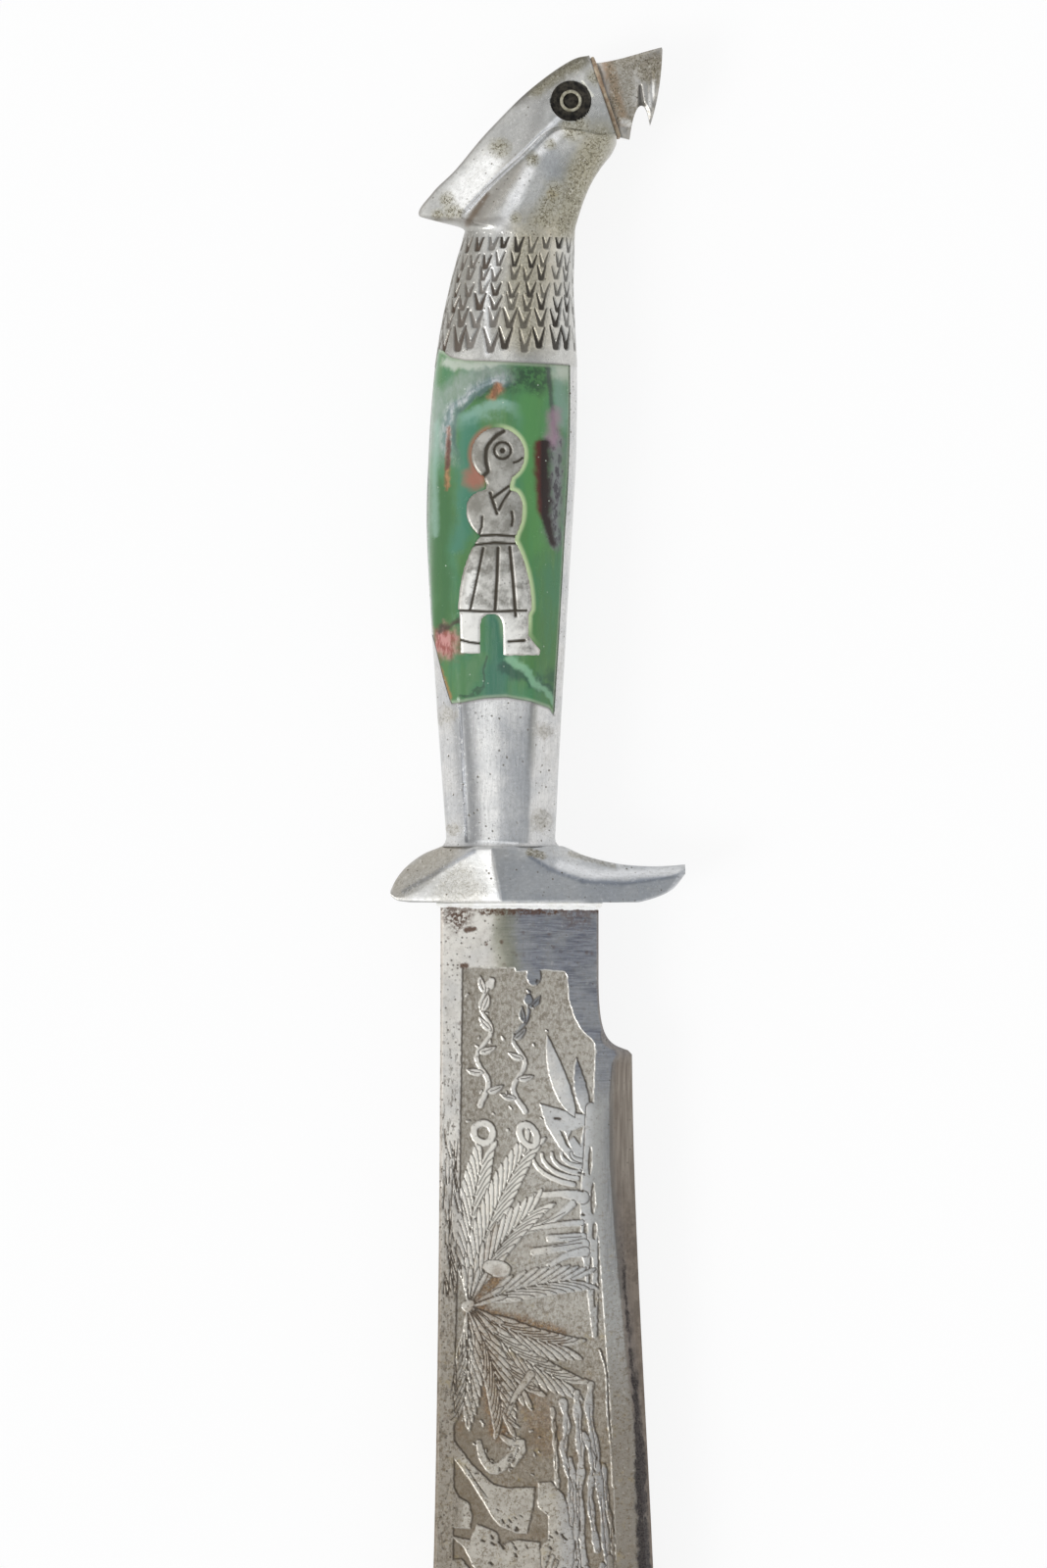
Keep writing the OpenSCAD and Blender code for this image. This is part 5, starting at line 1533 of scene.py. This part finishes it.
def build_inlay(name, node, side):
    """Resin between collar, strip, fin and neck: a thick curved slab with a soft edge."""
    columns = np.linspace(1, 2, 100)
    foot = inlay_edge(columns, inlay_foot, 34)
    top = inlay_edge(columns, inlay_top, 86)
    heights = mixed(foot, top, np.linspace(0, 1, 170)[:, None])
    points = hilt_skin(column_turn(columns, heights), heights)
    normal = normals_of(points)
    x = points[:, :, 0]
    ends = np.minimum(heights - foot, top - heights)
    widths = np.linalg.norm(np.diff(points, axis=1), axis=-1).cumsum(1)
    widths = np.concatenate([0 * widths[:, :1], widths], 1)
    rim = np.minimum(ends, np.minimum(widths, widths[:, -1:] - widths))
    halo = outline_distance(x, heights, figure_edge)
    sunk = 0.07 + 0.16 * (1 - eased(rim, 0, 0.7)) + 0.06 * (1 - eased(halo, 0, 0.9))
    sunk = sunk + 0.05 * waves(points, 14, 6) + under_figure * eased(-halo, 0.15, 0.6)
    faces = shell_faces(skin_quads(*heights.shape).reshape(-1, 4), heights.size)
    both = both_sides(points, normal, resin_depth)
    both[:heights.size] -= (normal * sunk[..., None]).reshape(-1, 3)
    marks = {"rim": np.tile(rim.ravel(), 2), "halo": np.tile(halo.ravel(), 2)}
    make_piece(name, both if side > 0 else flipped(both), faces, resin_paint, [node], marks,
               50)


build_inlay("resin_front", "front_inlay", 1)
build_inlay("resin_back", "back_inlay", -1)


def face_height(x, y):
    """Height of the hilt's shown face over a place."""
    low = np.full(np.shape(x), 0.05)
    high = np.full(np.shape(x), np.pi - 0.05)
    for _ in range(26):
        middle = (low + high) / 2
        right_of = hilt_skin(middle, y)[..., 0] > x
        low = np.where(right_of, middle, low)
        high = np.where(right_of, high, middle)
    return hilt_skin(low, y)[..., 2]


def plate_points(outline, pitch):
    """Triangles over an outline, with points about a pitch apart: places and faces."""
    edge = resampled(outline, pitch)
    low = edge.min(0)
    high = edge.max(0)
    xs, ys = np.meshgrid(np.arange(low[0], high[0], pitch), np.arange(low[1], high[1], pitch * 0.866))
    xs = xs + (np.arange(len(xs)) % 2)[:, None] * pitch / 2
    depth = -outline_distance(xs, ys, edge)
    inner = np.stack([xs, ys], -1)[depth > pitch * 0.6]
    places = np.vstack([edge, inner])
    found = delaunay_2d_cdt([Vector(p) for p in places.tolist()], [], [list(range(len(edge)))], 1, 1e-6)
    return np.array([tuple(p) for p in found[0]]), np.array(found[2])


def px(*places):
    """Places from the photograph's columns and rows of pixels, in millimetres."""
    return [((u - guard_foot_px[0]) * pixel, (guard_foot_px[1] - v) * pixel) for u, v in places]


engraved = [
    (px((514, 441), (507, 445), (502, 450), (498, 455), (496, 460), (495.5, 467), (496, 473), (498, 482),
        (494, 486)), 0.3),
    (px((524, 473), (529, 471.5), (533, 468)), 0.17),
    (px((500, 504), (503, 513), (507, 525)), 0.24),
    (px((519, 497), (511, 503), (504, 508)), 0.22),
    (px((521, 501), (514, 511), (509, 521)), 0.2),
    (px((492, 528), (491.5, 538), (489, 545)), 0.17),
    (px((522, 523), (523, 530), (522, 537)), 0.2),
    (px((486, 547.5), (506, 546.5), (526, 548)), 0.2),
    (px((482, 557), (504, 554.5), (526, 555.5)), 0.19),
    (px((493, 560), (488, 585), (480, 622)), 0.2),
    (px((508, 560), (507, 590), (505, 624)), 0.25),
    (px((520, 559), (523, 590), (526, 629)), 0.25),
    (px((469, 623.5), (500, 624.5), (537, 623.5)), 0.19),
    (px((469, 653), (480, 656), (491, 657)), 0.18),
    (px((519, 655), (527, 654.5), (535, 654)), 0.22),
]


def build_figure(name, node, side):
    """Cast figure, flush with the hilt's skin, with its engraved lines cut in."""
    places, faces = plate_points(figure_edge, 0.2)
    x = places[:, 0]
    y = places[:, 1]
    inward = -outline_distance(x, y, figure_edge)
    cut = np.zeros(len(x))
    for line, width in engraved:
        cut = np.maximum(cut, 1 - eased(line_distance(x, y, line, width * 0.72), 0, width * 0.6 + 0.05))
    eye_x, eye_y = px((512.6, 460.7))[0]
    away = np.hypot(x - eye_x, y - eye_y)
    eye_ring_r = 1.3
    eye_dot_r = 0.42
    cut = np.maximum(cut, 1 - eased(np.abs(away - eye_ring_r) - 0.17, 0, 0.14))
    cut = np.maximum(cut, 1 - eased(away - eye_dot_r, 0, 0.14))
    z = face_height(x, y) + 0.02 - 0.22 * (1 - eased(inward, 0, 0.4)) - 0.2 * cut
    top = xyz(x, y, z)
    top[:, 2] += 0.03 * waves(top, 5, 2)
    points = np.concatenate([top, xyz(x, y, figure_foot)])
    dirt = 1 - eased(inward, 0.05, 0.5)
    marks = {"cut": np.tile(cut, 2), "dirt": np.tile(dirt, 2)}
    make_piece(name, points if side > 0 else flipped(points), shell_faces(faces, len(x)), figure_paint,
               [node], marks, 50)


build_figure("figure_front", "front_figure", 1)
build_figure("figure_back", "back_figure", -1)

# Neck with its punched scales: height of each row, then height and width of its marks
scale_rows = [
    (89.7, 3.3, 2.1), (92.8, 2.5, 1.9), (95.3, 2.1, 1.7), (97.5, 1.9, 1.5), (99.8, 1.9, 1.5),
    (102.1, 2.0, 1.4), (104.8, 2.2, 1.6),
]
scales_round = 23


def punched(lengths, y, total):
    """Depth of the V marks, 0 to 1, at heights and lengths round the neck."""
    depth = np.zeros(y.shape)
    draw = np.random.default_rng(5)
    pitch = total / scales_round
    for middle, tall, wide in scale_rows:
        shift = draw.uniform(-0.12, 0.12)
        jitter = draw.uniform(-1, 1, (scales_round, 6))
        which = np.round(lengths / pitch - shift).astype(int)
        own = jitter[which % scales_round]
        u = lengths - (which + shift) * pitch - 0.34 * own[..., 0]
        v = y - middle - 0.34 * own[..., 1]
        half_w = wide / 2 * (1 + 0.14 * own[..., 2]) * np.clip(pitch / 2.3, 0.75, 1.1)
        half_h = tall / 2 * (1 + 0.12 * own[..., 3])
        share = np.clip((v + half_h) / (2 * half_h), 0, 1)
        lean = u + 0.12 * own[..., 4] * share
        arm = np.abs(np.abs(lean) - mixed(0.16, half_w, share))
        width = mixed(0.45, 0.13, share**0.8) * (1 + 0.15 * own[..., 5]) * wide / 2
        beyond = np.maximum(np.abs(v) - half_h, 0)
        firm = 0.84 + 0.16 * np.sin(9 * own[..., 4] + 5 * own[..., 0])
        depth = np.maximum(depth, firm * (1 - eased(np.hypot(arm, beyond) - width, -0.09, 0.11)))
    return depth


def build_neck():
    """Neck above the inlay as one cast shell, with rows of V marks punched round it."""
    columns, side = ring_columns(38, 150, 12)
    top_edge = inlay_edge(columns, inlay_top, 86)
    start = np.where((columns >= 1) & (columns <= 2), top_edge, neck_foot)
    rise = np.linspace(0, 1, 124)[:, None]
    end = neck_top - 0.6
    heights = mixed(start, end + 0 * start, rise)
    flat_turn = column_turn(columns, np.minimum(heights, even_at))
    uniform = column_turn(columns, np.full(heights.shape, float(even_at)))
    turn = side * mixed(flat_turn, uniform, eased(heights, even_from, even_at))
    points = hilt_skin(turn, heights)
    around = np.linspace(-np.pi, np.pi, 721)
    lengths = np.zeros(heights.shape)
    total = np.zeros(heights.shape)
    for height in np.unique(np.round(heights, 1)):
        ring = hilt_skin(around, height)
        reach = np.concatenate([[0], np.linalg.norm(np.diff(ring, axis=0), axis=1).cumsum()])
        reach -= np.interp(np.pi / 2, around, reach)
        here = np.round(heights, 1) == height
        wrapped = (turn[here] + np.pi) % (2 * np.pi) - np.pi
        lengths[here] = np.interp(wrapped, around, reach)
        total[here] = reach[-1] - reach[0]
    depth = punched(lengths, heights, total)
    normal = normals_of(points, True)
    points = points + normal * (0.06 * waves(points, 9, 12) - punch_depth * depth)[..., None]
    rows, cols = heights.shape
    faces = shell_faces(skin_quads(rows, cols, True).reshape(-1, 4), rows * cols)
    rim = np.where((columns > 1) & (columns < 2), heights - start, 9)
    dirt = np.maximum(depth, 0.5 * (1 - eased(rim, 0.05, 0.35)))
    make_piece("scaled_neck", both_sides(points, normal, neck_wall), faces, head_paint, ["eagle_head"],
               {"dirt": np.tile(dirt.ravel(), 2)}, 60)


build_neck()

# Head stations: number, x and y of back, ridge and front, then thickness at each of them, as shares
head_keys = [
    (0, -8.6, 0, -5.16, 0, 8.6, 0, 0.6, 1.1, 1),
    (1, -16, 1.8, -9.2, 1.3, 9.3, 2.2, 0.6, 1.04, 0.94),
    (2, -14, 5.6, -7.4, 3.9, 10.1, 4.6, 0.8, 1.03, 0.84),
    (3, -10.3, 9.4, -4.5, 6.9, 11.2, 7.1, 0.95, 1.03, 0.74),
    (4, -5, 15.6, 0.2, 11.2, 12.8, 9.6, 1.05, 1.03, 0.68),
    (5, -0.2, 20.5, 5.0, 15.4, 14.3, 11.5, 1.15, 1.0, 0.7),
    (6, 4.3, 24.2, 9.1, 15.3, 15, 12.9, 1.25, 0.93, 0.8),
    (7, 8.3, 26.7, 12.5, 14.6, 15.2, 13.6, 1.32, 0.88, 0.78),
    (8, 10.79, 27.342, 14.972, 14.772, 15.146, 14.248, 1.36, 0.84, 0.76),
]
# Columns of the throat: how far forward each lies, and how thick it is there, as shares
throat_columns = [0, 1, 2, 3.5, 5, 6.5, 8, 9.2, 11]
throat_forward = [1, 0.985, 0.93, 0.84, 0.70, 0.56, 0.43, 0.30, 0.0]
throat_height = [0, 0.32, 0.55, 0.74, 0.90, 0.97, 1.0, 0.989, 0.989]


def head_half(station, column):
    """A point of half a head section: column 0 is the throat's front, 11 the ridge, 18 the crest's back."""
    station, column = np.broadcast_arrays(station, column)
    back_x, back_y, ridge_x, ridge_y, front_x, front_y, back_s, ridge_s, throat_s = along(head_keys, station)
    back_t = crest_back_half_t * back_s
    ridge_t = face_half_t * ridge_s
    throat_t = throat_half_t * throat_s
    # The throat is highest along a keel, which starts at the neck's middle and runs up to the eye
    keel = np.interp(station, [1, 2, 3, 4, 5], [0.38, 0.37, 0.3, 0.18, 0.13]) - 0.365
    at_ridge = np.interp(station, [1, 2, 3, 4], [0.84, 0.83, 0.86, 0.9])
    forward = np.interp(column, throat_columns, throat_forward)
    forward = forward + keel * np.interp(column, [0, 5, 8, 9.2, 11], [0, 0, 1, 1, 0])
    throat_z = np.interp(column, throat_columns, throat_height)
    throat_z = throat_t * mixed(throat_z, at_ridge, np.clip((column - 9.2) / 1.8, 0, 1))
    back_share = np.interp(column, [11, 12, 13, 16, 17, 18], [0, 0.03, 0.08, 0.92, 1, 1])
    curve = np.interp(station, [1, 3, 5], [1.0, 1.15, 1.6])
    slope = np.clip((back_share - 0.08) / 0.84, 0, 1) ** curve
    rise = np.interp(column, [11, 12, 13], [0, 0.85, 1])
    crest_z = mixed(at_ridge * throat_t, mixed(ridge_t, back_t, slope), rise)
    crest_z = crest_z * np.interp(column, [16, 17, 18], [1, 0.7, 0])
    on_crest = column > 11
    x = np.where(on_crest, mixed(ridge_x, back_x, back_share), mixed(ridge_x, front_x, forward))
    y = np.where(on_crest, mixed(ridge_y, back_y, back_share), mixed(ridge_y, front_y, forward))
    z = np.where(on_crest, crest_z, throat_z)
    return np.stack([x + head_x, y + neck_top, z], -1)


def sink_socket(points):
    """Moves points near the socket's rim onto it and sinks those inside; gives their distance from it."""
    away = np.hypot(points[:, :, 0] - eye_at[0], points[:, :, 1] - eye_at[1])
    tall = np.abs(points[:, :, 2]) > 2
    near = tall & (np.abs(away - socket_r) < 0.16)
    wanted = np.where(away < socket_r, socket_r - 0.03, socket_r + 0.05)
    pull = np.where(near, wanted / np.maximum(away, 0.01), 1)[..., None]
    points[:, :, :2] = eye_at + (points[:, :, :2] - eye_at) * pull
    inside = tall & (away < socket_r)
    points[:, :, 2] = np.where(inside, np.sign(points[:, :, 2]) * eye_floor, points[:, :, 2])
    return away


def build_head():
    """Head from the neck to the seam, with its crest, the ridge below it and the eye's socket."""
    half = np.concatenate([np.linspace(0, 11, 72)[:-1], np.linspace(11, 13, 12)[:-1],
                           np.linspace(13, 16, 34)[:-1], np.linspace(16, 18, 12)])
    columns = np.concatenate([half, half[1:-1][::-1]])
    side = np.concatenate([-np.ones(len(half)), np.ones(len(half) - 2)])
    stations = np.linspace(1, 8, 200)[:, None]
    head = head_half(stations, columns[None, :])
    head[:, :, 2] *= side
    turn = np.radians(10 * columns) * side
    low_y = neck_top - np.array([1.6, 1.2, 0.8, 0.4, 0])[:, None]
    low = hilt_skin(turn[None, :], low_y)
    share = np.linspace(0, 1, 12)[1:-1, None, None]
    between = mixed(low[-1], head[0], share)
    points = np.concatenate([low, between, head])
    points = softened(points, 2)
    for _ in range(3):
        points[4:-1] = 0.5 * points[4:-1] + 0.25 * points[3:-2] + 0.25 * points[5:]
    normal = normals_of(points, True)
    fade = eased(np.arange(len(points)), 4, 12)[:, None]
    points = points + normal * (0.07 * waves(points, 10, 12) * fade)[..., None]
    points[:5] -= normal[:5] * 0.015
    away = sink_socket(points)
    rows, cols = points.shape[:2]
    inner_start = points[:1] * 1.0
    inner_start[:, :, 0] = mixed(points[:1, :, 0], collar_x + 3.2, 0.2)
    inner_start[:, :, 2] *= 0.8
    points = np.concatenate([inner_start, points])
    away = np.concatenate([away[:1] * 0 + 9, away])
    # Painted shade in the crease below the crest, and painted shade with a duller surface over a glint at the
    # hackle's foot;
    # darker along the crest's edge, round the eye and at the seam
    row = np.arange(rows + 1)[:, None]
    up_head = row / rows
    crease = bell(columns - 10.2, 0.3) * np.interp(up_head, [0, 0.1, 0.4, 0.6], [0.2, 0.6, 0.15, 0])
    edge = 0.5 * bell(columns - 16.7, 0.5) * np.interp(up_head, [0, 0.15, 1], [0.1, 1, 0.8])
    dirt = np.maximum(np.maximum(crease * 0.8, edge), 0.35 * (1 - eased(np.abs(away - socket_r), 0, 0.16)))
    dirt = np.maximum(dirt, 0.42 * bell(row - 13, 5) * eased(-points[:, :, 0], 1.5, 3.5))
    dirt = np.maximum(dirt, 0.5 * eased(up_head, 0.985, 1.0))
    make_piece("eagle_head_cast", points, capped_faces(rows + 1, cols), head_paint, ["eagle_head"],
               {"dirt": dirt}, 50)


build_head()


def turned(profile, centre, steps=72):
    """A ring or button from a closed profile of radius and height, turned round its own axis."""
    profile = np.asarray(profile, float)
    turn = np.linspace(0, 2 * np.pi, steps + 1)[:-1]
    radius, height = profile.T[:, :, None]
    points = xyz(centre[0] + radius * np.cos(turn), centre[1] + radius * np.sin(turn), height)
    faces = skin_quads(len(profile), steps, True).reshape(-1, 4).tolist()
    last = (len(profile) - 1) * steps
    faces += [[last + j, last + (j + 1) % steps, (j + 1) % steps, j] for j in range(steps)]
    return points, faces


def build_eye():
    """Black ring and pupil with the light eyelet between them, on both cheeks."""
    ring = [(1.66, 3.6), (1.66, 4.28), (1.9, 4.33), (2.5, 4.3), (2.9, 4.36), (3.12, 4.42), (3.19, 4.3),
            (3.19, 3.6)]
    points, faces = turned(ring, eye_at)
    points[:, :, 2] += 0.03 * waves(points, 0.9, 1)
    pupil = [(0.02, 4.0), (0.02, 4.38), (0.5, 4.34), (0.9, 4.22), (1.25, 4.1), (1.25, 4.0)]
    dot, dot_faces = turned(pupil, eye_at, 48)
    both, both_faces = joined([(points, faces), (dot, dot_faces), (flipped(points), faces),
                               (flipped(dot), dot_faces)])
    make_piece("eye_rings", both, both_faces, enamel_paint, ["eye_enamel"])
    tube = [(1.24, -4.5), (1.24, 4.5), (1.36, 4.62), (1.54, 4.64), (1.7, 4.52), (1.74, 4.4), (1.74, -4.4),
            (1.7, -4.52), (1.54, -4.64), (1.36, -4.62)]
    points, faces = turned(tube, eye_at)
    make_piece("eyelet_tube", points, faces, eyelet_paint, ["eye_eyelet"])


build_eye()


def from_seam(points):
    """From the seam's own frame into the knife's."""
    c = math.cos(seam_turn)
    s = math.sin(seam_turn)
    x = seam_at[0] + points[..., 0] * c - points[..., 1] * s
    y = seam_at[1] + points[..., 0] * s + points[..., 1] * c
    return xyz(x, y, points[..., 2])


def build_braze():
    """Brown seam between head and beak, thicker where the metal ran out."""
    half_t = 4.05
    loop = resampled([(6.5, 1.6 - half_t), (4.8, -half_t), (-5.3, -half_t), (-6.8, 1 - half_t),
                      (-6.8, half_t - 1), (-5.3, half_t), (4.8, half_t), (6.5, half_t - 1.6)], 0.25)
    rows = []
    for place, out in ((0.02, -0.1), (0.12, 0.02), (0.35, 0.06), (0.58, 0.02), (0.68, -0.1)):
        ring = xyz(place, *(loop.T * (1 + out / 6)))
        ring += 0.05 * waves(ring, 1.5, 3)[:, None] * [0.5, 1, 1]
        rows.append(ring)
    make_piece("braze_seam", from_seam(np.array(rows)), capped_faces(len(rows), len(loop)), braze_paint,
               ["beak_braze"])


build_braze()


def build_beak():
    """Open hooked beak, filed flat on its sides, with the groove above its notch."""
    outline = np.vstack([
        bend((seam_t, 5.5), (4, 4.7), (7.4, 4.9), (11.3, 4.6), 24),
        bend((11.3, 4.2), (10.2, 1.2), (8.4, -3), (5.7, -6.5), 24),
        bend((5.8, -5.6), (6, -4.4), (6, -2.9), (5.2, -3), 12),
        bend((4.9, -3.1), (4, -3.6), (3, -5.4), (1.9, -7.6), 14),
        [(seam_t, -6.8)],
    ])
    places, faces = plate_points(outline, 0.18)
    x = places[:, 0]
    y = places[:, 1]
    inward = -outline_distance(x, y, outline)
    seam = eased(x, seam_t, seam_t + 0.8)
    taper = np.interp(x, [0, 12], [3.6, 1.7])
    profile = np.interp(y, [-8, -4.6, 2.4, 6], [1.4, 3.6, 3.6, 1.1])
    z = np.minimum(taper, profile) - 0.15 * np.exp(-np.abs(taper - profile) / 0.5)
    z = z - 0.35 * (1 - eased(inward, 0, 0.5)) * np.maximum(seam, 0.3)
    groove = line_distance(x, y, [(5.3, -3.1), (5.7, -1.4), (6.1, -0.1)], [0.34, 0.2, 0.06])
    side_groove = line_distance(x, y, [(7.0, -3.8), (7.5, -1.6), (8.5, 1.2)], [0.2, 0.2, 0.05])
    z = z - 0.5 * (1 - eased(groove, -0.1, 0.35)) - 0.28 * (1 - eased(side_groove, -0.1, 0.35))
    z = z - 0.4 * eased(-y - 0.35 * x, 4.4, 5.0)
    points = xyz(x, y, z)
    points[:, 2] += 0.06 * waves(points, 3.5, 9)
    both = from_seam(np.concatenate([points, flipped(points)]))
    dirt = 0.8 * (1 - eased(groove, -0.1, 0.2)) + 0.4 * (1 - eased(x, seam_t, seam_t + 0.5))
    dirt = np.clip(dirt + 0.3 * (1 - eased(side_groove, -0.1, 0.2)), 0, 1)
    make_piece("open_beak", both, shell_faces(faces, len(x)), beak_paint, ["beak"],
               {"dirt": np.tile(dirt, 2)}, 50)


build_beak()

# Hidden solids that are shown as they are
hidden = {"tang_bedding": pitch_paint, "tang_pin_lower": pin_paint, "tang_pin_upper": pin_paint}
for node, paint in hidden.items():
    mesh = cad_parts[node].data
    mesh.materials.clear()
    mesh.materials.append(paint)


def build_stage():
    """White table that glows a little where the camera and mirrored rays meet it, so that it stays white."""
    half = 3.0
    table_gap = 0.0003
    steps = 12
    places = np.linspace(-half, half, steps)
    xs, ys = np.meshgrid(places, places)
    mesh = bpy.data.meshes.new("table")
    faces = skin_quads(steps, steps).reshape(-1, 4).tolist()
    mesh.from_pydata(xyz(xs, ys, -table_gap).reshape(-1, 3).tolist(), [], faces)
    finish = Finish("white table")
    kinds = ("Is Camera Ray", "Is Glossy Ray", "Is Transmission Ray")
    rays = [finish.node("ShaderNodeLightPath", {}, {}, kind) for kind in kinds]
    seen = rays[0].over(rays[1]).over(rays[2])
    matt = finish.node("ShaderNodeBsdfDiffuse", {}, {"Color": (0.9, 0.9, 0.9, 1)})
    glow = finish.node("ShaderNodeEmission", {}, {"Color": (1, 1, 1, 1), "Strength": 1.0})
    surface = finish.node("ShaderNodeMixShader", {}, {0: seen * 0.86, 1: matt, 2: glow})
    mesh.materials.append(finish.shown(surface))
    table = bpy.data.objects.new("table", mesh)
    scene.collection.objects.link(table)


def build_sky():
    """Studio sky: white near the horizon, with softer and brighter bands overhead for metal to show."""
    world = bpy.data.worlds.new("studio")
    scene.world = world
    world.use_nodes = True
    sky = Finish.__new__(Finish)
    sky.tree = world.node_tree
    sky.tree.nodes.clear()
    toward = sky.node("ShaderNodeTexCoord", out="Generated")
    across, ahead, up = (sky.node("ShaderNodeSeparateXYZ", {}, {0: toward}, axis) for axis in "XYZ")
    grey = (1, 1, 1)
    cool = (0.94, 0.985, 1.04)
    bands = ((0.0, 0.95, grey), (0.275, 1.1, grey), (0.335, 0.66, grey), (0.44, 0.6, grey),
             (0.462, 1.7, grey), (0.494, 1.6, grey), (0.512, 0.58, cool), (0.7, 0.46, cool),
             (0.86, 0.85, grey), (1.0, 0.95, grey))
    stops = [(at, (*(level * part for part in colour), 1)) for at, level, colour in bands]
    overhead = sky.node("ShaderNodeValToRGB", {"stops": stops}, {0: across * 0.5 + 0.5 + ahead * 0.06})
    light = sky.mix(up.step(0.15, 0.55), (1, 1, 1, 1), overhead)
    background = sky.node("ShaderNodeBackground", {}, {"Color": light, "Strength": 1.0})
    output = sky.tree.nodes.new("ShaderNodeOutputWorld")
    sky.tree.links.new(background.socket, output.inputs["Surface"])


build_stage()
build_sky()

sun_data = bpy.data.lights.new("window light", "SUN")
sun_data.energy = 0.9
sun_data.angle = math.radians(22)
sun = bpy.data.objects.new("window light", sun_data)
sun.rotation_euler = Vector((0.75, 0.35, -0.75)).to_track_quat("-Z", "Y").to_euler()
scene.collection.objects.link(sun)

# Camera: square above the knife with a long lens, framed like the photograph, 165.54 by 248 mm
distance = 2.0
frame_height = 0.248
sensor = 36
camera_data = bpy.data.cameras.new("camera")
camera_data.sensor_width = sensor
camera_data.lens = sensor * distance / frame_height
camera_data.clip_end = 20
camera = bpy.data.objects.new("camera", camera_data)
camera.location = (-0.00228, 0.0538, 0.0125 + distance)
scene.collection.objects.link(camera)
scene.camera = camera
scene.view_settings.view_transform = "Standard"
